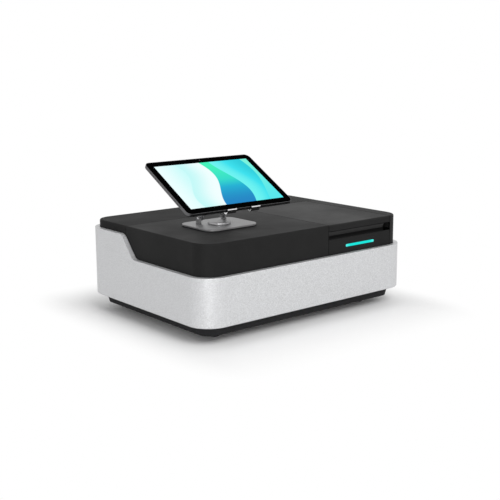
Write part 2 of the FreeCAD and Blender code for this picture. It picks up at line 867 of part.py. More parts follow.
def grating_motor():
    low = bench_bottom - 20
    body = block(grating_x - 14, grating_x + 14, grating_y - 14, grating_y + 14, low, bench_bottom)
    body = body.common(rod(grating_x, grating_y, low, 17.5, 20))
    neck = rod(grating_x, grating_y, bench_bottom, 8.0, pocket_depth)
    return joined([body, neck]).cut(rod(grating_x, grating_y, bench_bottom - 7, turret_shaft + pin_gap, 12))


def beam_tube():
    """Light pipe from the exit slit to the well."""
    x0 = exit_x + slit_thick
    pipe = tube(x0, beam_y, beam_z, 9.0, 6.5, well_left - x0, across)
    collar = tube(x0, beam_y, beam_z, 12.0, 6.5, 3.0, across)
    return joined([pipe, collar])


panel_y = body_depth / 2 - panel_recess
flange_y = back_y - cover_wall
inlet_half = (13.5, 10.0)
switch_half = (7.5, 10.5)
usb_pitch = 30.0
jack_pitch = 26.0
usb_x = switch_x - usb_pitch
jack_x = usb_x - jack_pitch
port_low = 88.0
jack_half = 8.0
jack_height = 13.5
usb_half = 7.3
usb_height = 15.6


def cutout(x, half_x, z0, z1, y0, y1):
    gap = port_gap
    return block(x - half_x - gap, x + half_x + gap, y0, y1, z0 - gap, z1 + gap)


def vents():
    """Upright slots that fill a round field in front of the fan."""
    reach = fan_size / 2 - 4
    made = []
    count = int(reach / vent_pitch)
    for i in range(-count, count + 1):
        x = fan_x + i * vent_pitch
        half = math.sqrt(reach ** 2 - (i * vent_pitch) ** 2)
        x0, x1 = x - vent_width / 2, x + vent_width / 2
        made.append(block(x0, x1, flange_y - 1, panel_y + 1, fan_z - half, fan_z + half))
    return group(made)


def rear_panel():
    flange = rear_window(frame_lap - fit_gap, flange_y, back_y)
    face = rear_window(-fit_gap, back_y, panel_y)
    panel = joined([flange, face]).cut(vents())
    y0, y1 = flange_y - 1, panel_y + 1
    for x, (hx, hz) in ((inlet_x, inlet_half), (switch_x, switch_half)):
        panel = panel.cut(cutout(x, hx, port_z - hz, port_z + hz, y0, y1))
    panel = panel.cut(cutout(jack_x, jack_half, port_low, port_low + jack_height, y0, y1))
    return panel.cut(cutout(usb_x, usb_half, port_low, port_low + usb_height, y0, y1))


def power_inlet():
    hx, hz = inlet_half
    body = block(inlet_x - hx, inlet_x + hx, panel_y - 24, panel_y, port_z - hz, port_z + hz)
    x0, x1 = inlet_x - hx - 2, inlet_x + hx + 2
    flange = block(x0, x1, panel_y, panel_y + 1.5, port_z - hz - 2, port_z + hz + 2)
    x, z = 12.0, 8.2
    corners = [(inlet_x - x, port_z - z, 1), (inlet_x + x, port_z - z, 1), (inlet_x + x, port_z + z - 5, 1),
               (inlet_x + x - 5, port_z + z, 1), (inlet_x - x + 5, port_z + z, 1), (inlet_x - x, port_z + z - 5, 1)]
    cavity = prism(corners, on_xz(panel_y - 15), vec(0, 17, 0))
    y0, y1 = panel_y - 22, panel_y - 3.6
    blades = [block(inlet_x + dx - 1, inlet_x + dx + 1, y0, y1, port_z + dz - 2, port_z + dz + 2)
              for dx, dz in ((-7, -1.5), (0, 2.5), (7, -1.5))]
    return joined([joined([body, flange]).cut(cavity)] + blades)


rocker_depth = 4.0
rocker_y = panel_y - rocker_depth
rocker_radius = 8.2
rocker_half = 5.0
rocker_tilt = 7.0


def switch_bezel():
    hx, hz = switch_half
    body = block(switch_x - hx, switch_x + hx, panel_y - 15, panel_y, port_z - hz, port_z + hz)
    x0, x1 = switch_x - hx - 1, switch_x + hx + 1
    flange = block(x0, x1, panel_y, panel_y + 1.5, port_z - hz - 1, port_z + hz + 1)
    wide, tall = rocker_half + 0.4, rocker_radius + 0.4
    room = block(switch_x - wide, switch_x + wide, rocker_y - rocker_radius, panel_y + 2, port_z - tall, port_z + tall)
    bezel = joined([body, flange]).cut(room)
    return bezel.cut(rod(switch_x - 6.6, rocker_y, port_z, 1.2 + pin_gap, 13.2, across))


def power_rocker():
    rise = rocker_radius * math.tan(math.radians(rocker_tilt))
    z = rocker_radius
    corners = [(-3.0, -3.0, 0.5), (-3.0, 3.0, 0.5), (2.0, z, 0.3), (4.5 + rise, z, 0), (4.5, 0, 1.0),
               (4.5 + rise, -z, 0), (2.0, -z, 0.3)]
    blank = prism(corners, on_yz(-rocker_half), vec(2 * rocker_half, 0, 0))
    blank = blank.common(rod(-rocker_half, 0, 0, rocker_radius, 2 * rocker_half, across))
    blank = joined([blank, rod(-6.4, 0, 0, 1.2, 12.8, across)])
    blank.rotate(vec(0, 0, 0), across, -rocker_tilt)
    blank.translate(vec(switch_x, rocker_y, port_z))
    return blank


def lan_jack():
    y1 = panel_y + 0.5
    body = block(jack_x - jack_half, jack_x + jack_half, y1 - 21, y1, port_low, port_low + jack_height)
    return body.cut(block(jack_x - 5.9, jack_x + 5.9, y1 - 13, y1, port_low + 2.5, port_low + 10.5))


def usb_ports():
    y1 = panel_y + 0.5
    body = block(usb_x - usb_half, usb_x + usb_half, y1 - 17, y1, port_low, port_low + usb_height)
    for z in (port_low + 2.2, port_low + 8.6):
        body = body.cut(block(usb_x - 6.3, usb_x + 6.3, y1 - 12, y1, z, z + 4.9))
        body = joined([body, block(usb_x - 5.5, usb_x + 5.5, y1 - 12.5, y1 - 3, z + 0.7, z + 2.3)])
    return body


def io_board():
    board = block(jack_x - 14, usb_x + 16, flange_y - 34, flange_y, port_low - 1.6, port_low)
    chips = [block(jack_x - 10, jack_x + 2, flange_y - 30, flange_y - 18, port_low, port_low + 1.5),
             block(jack_x + 8, usb_x - 10, flange_y - 28, flange_y - 20, port_low, port_low + 1.5)]
    return joined([board] + chips)


def fan_frame():
    half = fan_size / 2
    y0 = flange_y - fan_depth
    body = block(-half, half, -half, half, 0, fan_depth, 4.0)
    for sx in (-1, 1):
        for sy in (-1, 1):
            body = body.cut(rod(sx * (half - 5), sy * (half - 5), -1, 2.0, fan_depth + 2))
    body = body.cut(rod(0, 0, 0, half - 2, fan_depth))
    arms = [block(-half + 1, half - 1, -1.5, 1.5, 0, 2), block(-1.5, 1.5, -half + 1, half - 1, 0, 2)]
    frame = joined([body, rod(0, 0, 0, 11.0, 2.5)] + arms)
    frame = frame.cut(rod(0, 0, 0, 1.5 + pin_gap, 3))
    frame.rotate(vec(0, 0, 0), across, -90)
    frame.translate(vec(fan_x, y0, fan_z))
    return frame


def fan_rotor():
    half = fan_size / 2
    hub = rod(0, 0, 3.2, 12.0, fan_depth - 5)
    shaft = rod(0, 0, 0.3, 1.5, 3.0)
    blades = []
    outer = tube(0, 0, 3.6, half - 3, 11.0, fan_depth - 5.8)
    for i in range(7):
        blade = Part.makeBox(half, 1.2, 14, vec(0, -0.6, -7))
        blade.rotate(vec(0, 0, 0), across, 48)
        blade.translate(vec(0, 0, 8.3))
        blade.rotate(vec(0, 0, 0), up, i * 360 / 7)
        blades.append(blade.common(outer))
    rotor = joined([hub, shaft] + blades)
    rotor.rotate(vec(0, 0, 0), across, -90)
    rotor.translate(vec(fan_x, flange_y - fan_depth, fan_z))
    return rotor


supply_width = 80.0
supply_depth = 78.0
supply_height = 40.4
supply_from_left = 55.0
supply_from_frame = 10.0
supply_x = -body_width / 2 + supply_from_left
supply_y = frame_y0 + supply_from_frame


def power_supply():
    """Closed metal case with a row of slots in its lid."""
    top = floor_z + supply_height
    case = block(supply_x, supply_x + supply_width, supply_y, supply_y + supply_depth, floor_z, top)
    for i in range(8):
        y = supply_y + 8 + i * supply_depth / 9
        case = case.cut(block(supply_x + 15, supply_x + supply_width - 15, y, y + 3, top - 1.5, top))
    return case


board_inset = 32.0
board_from_back = 10.0
board_rise = 10.4
board_x0 = well_left + board_inset
board_x1 = well_right - board_inset
board_y0 = well_front + board_inset
board_y1 = well_back - board_from_back
board_z = floor_z + board_rise


def standoffs():
    return group([rod(x, y, floor_z, 3.0, board_z - floor_z)
                  for x in (board_x0 + 6, board_x1 - 6) for y in (board_y0 + 6, board_y1 - 6)])


def main_board():
    board = block(board_x0, board_x1, board_y0, board_y1, board_z, board_z + 1.6)
    top = board_z + 1.6
    centre_x = (board_x0 + board_x1) / 2
    length = board_y1 - board_y0

    def chip(dx, share, width, depth, height):
        x, y = centre_x + dx, board_y0 + share * length
        return block(x - width / 2, x + width / 2, y - depth / 2, y + depth / 2, top, top + height)

    processor = chip(0, 0.38, 22, 22, 2.5)
    driver = chip(-15, 0.66, 12, 12, 2.0)
    socket = chip(23, 0.31, 8, 54, 8.0)
    converter = chip(-23, 0.84, 8, 26, 10.0)
    cans = [rod(centre_x + 9, board_y0 + share * length, top, 5.0, 14) for share in (0.72, 0.82, 0.92)]
    return joined([board, processor, driver, socket, converter] + cans)


plate_z = deck_top + pad_thick
stand_screws = [(stand_x + sx * 11, stand_y + sy * 11) for sx in (-1, 1) for sy in (-1, 1)]


def stand_outline(x_half, y_half, radius, z0, z1):
    return block(stand_x - x_half, stand_x + x_half, stand_y - y_half, stand_y + y_half, z0, z1, radius)


def stand_screw_holes(radius, z0, z1):
    return group([rod(x, y, z0, radius, z1 - z0) for x, y in stand_screws])


def stand_pad():
    pad = stand_outline(plate_width / 2 - 1.2, plate_depth / 2 - 1.2, plate_radius - 1.2, deck_top, plate_z)
    return pad.cut(stand_screw_holes(1.6, deck_top, plate_z))


ear_x = arm_spacing + arm_thick / 2 + fit_gap


def stand_plate():
    """Base plate of the stand with the two ears of its lower hinge."""
    top = plate_z + plate_thick
    plate = stand_outline(plate_width / 2, plate_depth / 2, plate_radius, plate_z, top)
    upper = [e for e in plate.Edges if e.BoundBox.ZMin > top - 0.01]
    plate = plate.makeFillet(0.8, upper)
    plate = plate.cut(stand_screw_holes(1.6, plate_z, top)).cut(stand_screw_holes(3.1, top - 1.8, top))
    ears = []
    y, z = lower_pivot_y, lower_pivot_z
    for x0 in (stand_x - ear_x - ear_thick, stand_x + ear_x):
        corners = [(y - 7, top - 1, 0), (y + 7, top - 1, 0), (y + knuckle_radius, z + knuckle_radius, 4.9),
                   (y - knuckle_radius, z + knuckle_radius, 4.9)]
        ears.append(prism(corners, on_yz(x0), vec(ear_thick, 0, 0)))
    plate = joined([plate] + ears)
    return plate.cut(group(stand_pins(lower_pivot_y, lower_pivot_z, 0)))


def stand_pins(y, z, gap):
    """Short pins, one through each bar of the arm."""
    inner = arm_spacing - arm_thick / 2
    outer = ear_x + ear_thick
    return [rod(stand_x - outer, y, z, stand_pin_radius + gap, outer - inner, across),
            rod(stand_x + inner, y, z, stand_pin_radius + gap, outer - inner, across)]


def lower_stand_pins():
    return group(stand_pins(lower_pivot_y, lower_pivot_z, 0))


def stand_plate_screws():
    top = plate_z + plate_thick
    made = []
    for x, y in stand_screws:
        head = rod(x, y, top - 1.8, 3.0, 1.8)
        tip = deck_top - cover_wall - 3
        made.append(joined([head, rod(x, y, tip, 1.5, top - 1.8 - tip)]))
    return group(made)


def stand_cap():
    top = plate_z + plate_thick
    cap = rod(stand_x, stand_y, top, cap_radius, cap_height)
    upper = [e for e in cap.Edges if e.BoundBox.ZMin > top + cap_height - 0.01]
    return cap.makeFillet(0.8, upper)


lug_thick = 4.0
lug_x = arm_spacing - arm_thick / 2 - fit_gap - lug_thick


def stand_arm():
    """Two flat bars with a tie between them, leaning from the lower to the upper hinge."""
    run = math.hypot(upper_pivot_y - lower_pivot_y, upper_pivot_z - lower_pivot_z)
    half = arm_width / 2
    bars = []
    for x0 in (-arm_spacing - arm_thick / 2, arm_spacing - arm_thick / 2):
        corners = [(-half, -half, half - 0.05), (half, -half, half - 0.05),
                   (half, run + half, half - 0.05), (-half, run + half, half - 0.05)]
        bars.append(prism(corners, on_yz(x0), vec(arm_thick, 0, 0)))
    inner = arm_spacing - arm_thick / 2
    tie = block(-inner, inner, -1.5, 1.5, run * 0.3, run * 0.72)
    arm = joined(bars + [tie])
    lean = math.degrees(math.atan2(lower_pivot_y - upper_pivot_y, upper_pivot_z - lower_pivot_z))
    arm.rotate(vec(0, 0, 0), across, lean)
    arm.translate(vec(stand_x, lower_pivot_y, lower_pivot_z))
    arm = arm.cut(group(stand_pins(lower_pivot_y, lower_pivot_z, pin_gap)))
    return arm.cut(group(upper_pins(0)))


def upper_pins(gap):
    inner = lug_x
    outer = arm_spacing + arm_thick / 2
    y, z = upper_pivot_y, upper_pivot_z
    return [rod(stand_x - outer, y, z, stand_pin_radius + gap, outer - inner, across),
            rod(stand_x + inner, y, z, stand_pin_radius + gap, outer - inner, across)]


def upper_stand_pins():
    return group(upper_pins(0))


def on_tablet(shape):
    """Put a shape made flat, glass upwards at height 0, where the tablet stands."""
    placed = shape.copy()
    placed.rotate(vec(0, 0, 0), across, tablet_tilt)
    placed.translate(vec(stand_x, glass_y, glass_z))
    return placed


def pivot_on_tablet():
    """Upper hinge in the flat tablet's own height and depth."""
    turn = math.radians(tablet_tilt)
    dy = upper_pivot_y - glass_y
    dz = upper_pivot_z - glass_z
    return dy * math.cos(turn) + dz * math.sin(turn), dz * math.cos(turn) - dy * math.sin(turn)


def tablet_slab(inset, z0, z1):
    x = tablet_width / 2 - inset
    y = tablet_height / 2 - inset
    return block(-x, x, -y, y, z0, z1, tablet_radius - inset)


shell_inset = 0.9
button_z = -4.0
button_half = 1.5
power_button_x = 98.0
power_button_half = 5.0
volume_button_x = 70.0
volume_button_half = 11.0
camera_x = -tablet_width / 2 + 20.0
camera_y = tablet_height / 2 - 18.5
camera_radius = 6.5
core_half = tablet_width / 2 - 24.0
core_board_y = tablet_height / 2 - 34.5
core_board_depth = 20.0


def button_slot(x, half_x, gap):
    y1 = tablet_height / 2
    return block(x - half_x - gap, x + half_x + gap, y1 - 4, y1 + 1,
                 button_z - button_half - gap, button_z + button_half + gap)


def rear_camera():
    z = -tablet_thick
    lens = camera_radius - 2.0
    return joined([tube(camera_x, camera_y, z - 0.7, camera_radius, lens, 0.7),
                   rod(camera_x, camera_y, z - 0.4, lens, 0.4)])


def tablet_shell():
    """Metal back of the tablet, open to the front."""
    outside = tablet_slab(0, -tablet_thick, -0.15)
    low = [e for e in outside.Edges if e.BoundBox.ZMax < -tablet_thick + 0.01]
    outside = outside.makeFillet(2.6, low)
    pocket = tablet_slab(shell_inset, -glass_thick, 1)
    inside = tablet_slab(2.6, -tablet_thick + tablet_wall, 0)
    made = outside.cut(pocket).cut(inside)
    for x, half in ((power_button_x, power_button_half), (volume_button_x, volume_button_half)):
        made = made.cut(button_slot(x, half, fit_gap))
    port = block(tablet_width / 2 - 4, tablet_width / 2 + 1, -4.6, 4.6, button_z - 1.6, button_z + 1.6)
    return on_tablet(joined([made.cut(port), rear_camera()]))


def tablet_glass():
    return on_tablet(tablet_slab(shell_inset + 0.05, -glass_thick, 0))


def tablet_display():
    x = tablet_width / 2 - bezel
    y = tablet_height / 2 - bezel
    return on_tablet(block(-x - 2, x + 2, -y - 2, y + 2, -glass_thick - display_thick, -glass_thick))


def tablet_battery():
    low = -tablet_thick + tablet_wall
    return on_tablet(block(-core_half, core_half, -tablet_height / 2 + 20, core_board_y - 6, low,
                           -glass_thick - display_thick - 0.4))


def tablet_board():
    low = -tablet_thick + tablet_wall
    y0, y1 = core_board_y, core_board_y + core_board_depth
    board = block(-core_half, core_half, y0, y1, low, low + 1.0)
    chips = [block(x, x + 14, y0 + 3, y1 - 3, low + 1, low + 2.4)
             for x in (-0.7 * core_half, -0.2 * core_half, 0.4 * core_half)]
    return on_tablet(joined([board] + chips))


def edge_button(x, half_x):
    """Key in the top edge with a collar that keeps it in its slot."""
    y1 = tablet_height / 2
    z0, z1 = button_z - button_half, button_z + button_half
    cap = block(x - half_x, x + half_x, y1 - 3.4, y1 + 0.6, z0, z1)
    collar = block(x - half_x - 1, x + half_x + 1, y1 - 3.6, y1 - 2.9, z0, z1)
    return on_tablet(joined([cap, collar]))


hook_drop = tablet_height / 2
pad_sheet = 1.0


def tablet_bracket():
    """Back plate with two hooks under the tablet and the lugs of the upper hinge."""
    z0 = -tablet_thick - bracket_thick
    z1 = -tablet_thick
    half_x, half_y = bracket_width / 2, bracket_height / 2
    plate = block(-half_x, half_x, -half_y, half_y, z0, z1, 6.0)
    made = [plate]
    low = -hook_drop - pad_sheet
    tip = -hook_drop + hook_reach
    lip_z = pad_sheet / 2
    for x in (-hook_offset, hook_offset):
        x0 = x - hook_width / 2
        corners = [(-half_y + 1, z0, 0), (-half_y + 1, z1, 0), (low, z1, 0.5), (low, lip_z, 0.4),
                   (tip, lip_z, 0), (tip, lip_z + hook_lip, 0.7), (low - hook_thick, lip_z + hook_lip, 2.2),
                   (low - hook_thick, z0, 4.4)]
        made.append(prism(corners, on_yz(x0), vec(hook_width, 0, 0)))
    height, depth = pivot_on_tablet()
    for x0 in (-lug_x - lug_thick, lug_x):
        tip_z = depth - knuckle_radius
        corners = [(height - 9, z0, 0), (height + 9, z0, 0), (height + knuckle_radius, tip_z, 4.9),
                   (height - knuckle_radius, tip_z, 4.9)]
        made.append(prism(corners, on_yz(x0), vec(lug_thick, 0, 0)))
    bracket = on_tablet(joined(made))
    return bracket.cut(group(upper_pins(pin_gap)))


def hook_pads():
    made = []
    low = -hook_drop - pad_sheet
    for x in (-hook_offset, hook_offset):
        x0, x1 = x - hook_width / 2 + 1, x + hook_width / 2 - 1
        foot = block(x0, x1, low, -hook_drop, -tablet_thick + 0.6, 0)
        face = block(x0, x1, -hook_drop - 0.4, -hook_drop + hook_reach, 0, pad_sheet / 2 - 0.1)
        made.append(on_tablet(joined([foot, face])))
    return group(made)


def drilled_front_cover():
    low = deck_top - cover_wall
    return front_cover().cut(stand_screw_holes(1.5, low, deck_top))


nodes = {
    "outer_band": outer_band,
    "base_tray": base_tray,
    "feet": feet,
    "fixing_screws": lambda: group([foot_screws(), stand_plate_screws()]),
    "front_cover": drilled_front_cover,
    "rear_cover": rear_cover,
    "side_cover": side_cover,
    "front_panel": front_panel,
    "status_light": status_light,
    "status_board": status_board,
    "sample_lid": sample_lid,
    "lid_liner": lid_liner,
    "lid_screws": lid_screws,
    "lid_hinge_arms": lambda: group([gooseneck(x) for x in neck_xs]),
    "hinge_brackets": lambda: group([hinge_bracket(x) for x in neck_xs]),
    "hinge_pins": lambda: group([lid_hinge_pins(), lower_stand_pins()]),
    "rear_frame": rear_frame,
    "sample_well": sample_well,
    "lid_seal": lid_seal,
    "lenses": lambda: group([well_window(well_left), well_window(well_right - well_wall),
                             condenser_lens()]),
    "guide_rods": guide_rods,
    "cell_carriage": cell_carriage,
    "drive_screw": drive_screw,
    "stepper_motors": lambda: group([carriage_motor(), wheel_motor(), grating_motor()]),
    "support_posts": lambda: group([well_posts(), bench_columns(), standoffs()]),
    "detector": lambda: joined([detector_housing(), detector_board()]),
    "optical_bench": optical_bench,
    "isolators": isolators,
    "lamp_house": lamp_house,
    "lamp_socket": lamp_socket,
    "lamp_bulb": lamp_bulb,
    "filter_wheel": filter_wheel,
    "filter_glasses": filter_glasses,
    "optics_mounts": lambda: group([slit_plate(entrance_x, lamp_y), slit_plate(exit_x, beam_y),
                                    mirror_mount(lamp_y), mirror_mount(beam_y)]),
    "curved_mirrors": lambda: group([curved_mirror(lamp_y), curved_mirror(beam_y)]),
    "grating_turret": grating_turret,
    "grating_block": grating_block,
    "beam_tube": beam_tube,
    "rear_panel": rear_panel,
    "power_inlet": power_inlet,
    "switch_bezel": switch_bezel,
    "power_rocker": power_rocker,
    "port_board": lambda: joined([io_board(), lan_jack(), usb_ports()]),
    "fan_frame": fan_frame,
    "fan_rotor": fan_rotor,
    "power_supply": power_supply,
    "main_board": main_board,
    "stand_pad": stand_pad,
    "stand_plate": stand_plate,
    "stand_cap": stand_cap,
    "stand_arm": stand_arm,
    "upper_stand_pins": upper_stand_pins,
    "tablet_bracket": tablet_bracket,
    "hook_pads": hook_pads,
    "tablet_shell": tablet_shell,
    "tablet_glass": tablet_glass,
    "tablet_display": tablet_display,
    "tablet_core": lambda: group([tablet_battery(), tablet_board()]),
    "power_button": lambda: edge_button(power_button_x, power_button_half),
    "volume_button": lambda: edge_button(volume_button_x, volume_button_half),
}

os.makedirs("parts", exist_ok=True)
for name, make in nodes.items():
    shape = make()
    if not shape.isValid():
        print("not valid", name)
    shape.exportStep("parts/" + name + ".step")
    print(name, len(shape.Solids), round(shape.Volume))
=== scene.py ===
import json
import math

import bmesh
import bpy
from mathutils import Matrix, Vector


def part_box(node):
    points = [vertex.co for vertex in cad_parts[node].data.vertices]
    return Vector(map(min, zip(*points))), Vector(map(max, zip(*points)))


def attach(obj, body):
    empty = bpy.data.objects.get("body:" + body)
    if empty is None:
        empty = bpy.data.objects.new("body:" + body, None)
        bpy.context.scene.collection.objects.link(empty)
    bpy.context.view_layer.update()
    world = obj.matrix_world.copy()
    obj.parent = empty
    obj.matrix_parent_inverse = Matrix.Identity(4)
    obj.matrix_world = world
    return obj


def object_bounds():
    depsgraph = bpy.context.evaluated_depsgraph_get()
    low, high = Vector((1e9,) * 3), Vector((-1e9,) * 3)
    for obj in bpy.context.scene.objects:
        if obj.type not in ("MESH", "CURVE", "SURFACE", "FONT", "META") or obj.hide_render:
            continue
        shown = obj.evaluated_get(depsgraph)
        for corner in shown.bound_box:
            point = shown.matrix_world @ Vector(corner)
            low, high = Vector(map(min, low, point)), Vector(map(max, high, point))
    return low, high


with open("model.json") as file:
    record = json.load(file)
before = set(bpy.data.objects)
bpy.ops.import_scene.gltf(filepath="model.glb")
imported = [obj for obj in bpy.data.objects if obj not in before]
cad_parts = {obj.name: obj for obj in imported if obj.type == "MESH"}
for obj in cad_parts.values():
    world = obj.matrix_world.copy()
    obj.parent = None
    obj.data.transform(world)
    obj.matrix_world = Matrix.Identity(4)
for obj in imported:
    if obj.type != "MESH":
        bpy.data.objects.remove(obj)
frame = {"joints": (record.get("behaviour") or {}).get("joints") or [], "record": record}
cad_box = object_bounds()
mm = 0.001

# Places taken from the frame
status_low, status_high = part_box("status_light")
glass_low, glass_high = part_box("tablet_glass")
glass_middle = (Vector(glass_low) + Vector(glass_high)) / 2

# Tablet
tablet_tilt = math.radians(29.5)
tablet_width = 248.0 * mm
tablet_height = 161.0 * mm
glass_thick = 0.8 * mm
screen_half_width = 109.6 * mm
screen_half_height = 66.1 * mm

# Half widths of the blends between bands of the screen's picture, as shares of half its width
soft_line = 0.01
sharp_line = 0.006

# Radii by which sharp edges of plastic and paint are shaded round
moulded_edge = 0.9 * mm
painted_edge = 1.6 * mm

# Shares of the lid's height at which the painted light on its grip ends and the painted shade on its front
# lip starts and ends
lid_stops = (0.30, 0.38, 0.94)

# Board behind the rear panel, without its sockets
board_thick = 1.6 * mm

# Floor, a little below the feet
floor_half = 12.0
floor_drop = 0.2 * mm

# Floor fades to plain white between these distances from the footprint, slower to the front and back
fade_start = 0.0
fade_end = 0.11
fade_weights = (1.2, 0.6)


def pivot(name):
    """Place of a joint of the frame at rest."""
    return next(Vector(joint["pos_m"]) for joint in frame["joints"] if joint["name"] == name)


# Camera, fitted to the edges of the body

def add_camera():
    """Camera at the photo's viewing angle."""
    azimuth = math.radians(-40.86)
    elevation = math.radians(10.84)
    target = Vector((-0.48, -75.5, 160.38)) * mm
    distance = 1833.03 * mm
    back = Vector((math.sin(azimuth) * math.cos(elevation), -math.cos(azimuth) * math.cos(elevation),
                   math.sin(elevation)))
    data = bpy.data.cameras.new("camera")
    camera = bpy.data.objects.new("camera", data)
    bpy.context.scene.collection.objects.link(camera)
    camera.location = target + back * distance
    camera.rotation_euler = (-back).to_track_quat("-Z", "Y").to_euler()
    data.sensor_width = 36.0
    data.lens = 67.09
    data.shift_x = -0.047
    data.shift_y = -0.0338
    data.clip_end = 100.0
    bpy.context.scene.camera = camera


# Light

def add_area(name, place, aim, size, power):
    """Square lamp at a place, turned towards its aim."""
    data = bpy.data.lights.new(name, "AREA")
    data.energy = power
    data.size = size
    lamp = bpy.data.objects.new(name, data)
    lamp.location = place
    lamp.rotation_euler = (Vector(aim) - Vector(place)).to_track_quat("-Z", "Y").to_euler()
    bpy.context.scene.collection.objects.link(lamp)


def seen_rays(tree):
    """Factor of 1 for camera, glossy and transmission rays."""
    path = tree.nodes.new("ShaderNodeLightPath")
    first = tree.nodes.new("ShaderNodeMath")
    first.operation = "MAXIMUM"
    second = tree.nodes.new("ShaderNodeMath")
    second.operation = "MAXIMUM"
    tree.links.new(path.outputs["Is Camera Ray"], first.inputs[0])
    tree.links.new(path.outputs["Is Transmission Ray"], first.inputs[1])
    tree.links.new(first.outputs[0], second.inputs[0])
    tree.links.new(path.outputs["Is Glossy Ray"], second.inputs[1])
    return second.outputs[0]


def add_world(light, shown):
    """White world: light is its strength on the object, shown its strength in view and in gloss."""
    world = bpy.data.worlds.new("studio")
    bpy.context.scene.world = world
    world.use_nodes = True
    tree = world.node_tree
    tree.nodes.clear()
    output = tree.nodes.new("ShaderNodeOutputWorld")
    mix = tree.nodes.new("ShaderNodeMixShader")
    tree.links.new(seen_rays(tree), mix.inputs[0])
    for i, strength in enumerate((light, shown)):
        white = tree.nodes.new("ShaderNodeBackground")
        white.inputs["Color"].default_value = (1, 1, 1, 1)
        white.inputs["Strength"].default_value = strength
        tree.links.new(white.outputs[0], mix.inputs[1 + i])
    tree.links.new(mix.outputs[0], output.inputs["Surface"])


# Materials

class Paint:
    """Principled material built up step by step from nodes."""

    def __init__(self, name, color, rough, metal=0.0, coat=0.0, coat_rough=0.1, specular=0.5):
        self.material = bpy.data.materials.new(name)
        self.material.use_nodes = True
        self.tree = self.material.node_tree
        self.shader = self.tree.nodes["Principled BSDF"]
        self.shader.inputs["Base Color"].default_value = (*color, 1)
        self.shader.inputs["Roughness"].default_value = rough
        self.shader.inputs["Metallic"].default_value = metal
        self.shader.inputs["Coat Weight"].default_value = coat
        self.shader.inputs["Coat Roughness"].default_value = coat_rough
        self.shader.inputs["Specular IOR Level"].default_value = specular
        self.color = color
        self.rough = rough
        self.place = self.node("ShaderNodeTexCoord").outputs["Object"]

    def node(self, kind):
        return self.tree.nodes.new(kind)

    def link(self, start, end):
        self.tree.links.new(start, end)

    def math(self, operation, a, b=0.0):
        """Sum, product or the like of two values, each a number or a socket."""
        step = self.node("ShaderNodeMath")
        step.operation = operation
        for i, value in enumerate((a, b)):
            if isinstance(value, (int, float)):
                step.inputs[i].default_value = value
            else:
                self.link(value, step.inputs[i])
        return step.outputs[0]

    def axes(self):
        """X, Y and Z of a point on the surface."""
        split = self.node("ShaderNodeSeparateXYZ")
        self.link(self.place, split.inputs[0])
        return split.outputs

    def mix(self, factor, below, above, kind="MIX"):
        """Two colours mixed by a factor."""
        step = self.node("ShaderNodeMix")
        step.data_type = "RGBA"
        step.blend_type = kind
        if isinstance(factor, float):
            step.inputs["Factor"].default_value = factor
        else:
            self.link(factor, step.inputs["Factor"])
        self.link(below, step.inputs["A"])
        self.link(above, step.inputs["B"])
        return step.outputs["Result"]

    def noise(self, scale, detail=2.0, rough=0.5, stretch=None):
        """Even noise from 0 to 1, which stretch may draw out along an axis."""
        texture = self.node("ShaderNodeTexNoise")
        texture.inputs["Scale"].default_value = scale
        texture.inputs["Detail"].default_value = detail
        texture.inputs["Roughness"].default_value = rough
        source = self.place
        if stretch:
            mapping = self.node("ShaderNodeMapping")
            mapping.inputs["Scale"].default_value = stretch
            self.link(source, mapping.inputs["Vector"])
            source = mapping.outputs[0]
        self.link(source, texture.inputs["Vector"])
        return texture.outputs["Fac"]

    def ramp(self, factor, stops):
        """Blend of colours or greys along a factor; stops are (place, value)."""
        ramp = self.node("ShaderNodeValToRGB")
        bar = ramp.color_ramp
        while len(bar.elements) < len(stops):
            bar.elements.new(0.5)
        for element, (place, value) in zip(bar.elements, stops):
            element.position = place
            value = (value, value, value) if isinstance(value, (int, float)) else value
            element.color = (*value, 1)
        self.link(factor, ramp.inputs[0])
        return ramp.outputs[0]

    def tint(self, factor, low, high, start=0.3, end=0.7):
        """Vary the colour between shares low and high of itself."""
        stops = [(start, [c * low for c in self.color]), (end, [c * high for c in self.color])]
        self.link(self.ramp(factor, stops), self.shader.inputs["Base Color"])

    def share(self, value, low, high):
        """0 to 1 as a value goes from low to high."""
        step = self.node("ShaderNodeMapRange")
        step.interpolation_type = "SMOOTHSTEP"
        step.inputs["From Min"].default_value = low
        step.inputs["From Max"].default_value = high
        self.link(value, step.inputs["Value"])
        return step.outputs[0]

    def vary_rough(self, factor, spread):
        """Vary the roughness by up to a spread each way."""
        stops = [(0.3, max(0.0, self.rough - spread)), (0.7, min(1.0, self.rough + spread))]
        self.link(self.ramp(factor, stops), self.shader.inputs["Roughness"])

    def bump(self, factor, height, strength=1.0, ease=0.0):
        """Fine relief; ease is the radius by which sharp edges are shaded round."""
        bump = self.node("ShaderNodeBump")
        if ease:
            edge = self.node("ShaderNodeBevel")
            edge.samples = 6
            edge.inputs["Radius"].default_value = ease
            self.link(edge.outputs[0], bump.inputs["Normal"])
        bump.inputs["Strength"].default_value = strength
        bump.inputs["Distance"].default_value = height
        self.link(factor, bump.inputs["Height"])
        self.link(bump.outputs[0], self.shader.inputs["Normal"])


def fine_grain(paint, grain=2600.0, height=0.04 * mm, spread=0.06):
    """Gloss patches and an even fine grain, with sharp edges shaded round."""
    paint.vary_rough(paint.noise(9.0, 4.0), spread)
    paint.bump(paint.noise(grain, 2.0), height, 0.5, moulded_edge)


def moulded(name, color, rough, grain=2600.0, height=0.04 * mm, spread=0.06, **more):
    """Moulded plastic with a fine even grain."""
    paint = Paint(name, color, rough, **more)
    paint.tint(paint.noise(34.0, 3.0), 0.93, 1.07)
    fine_grain(paint, grain, height, spread)
    return paint.material


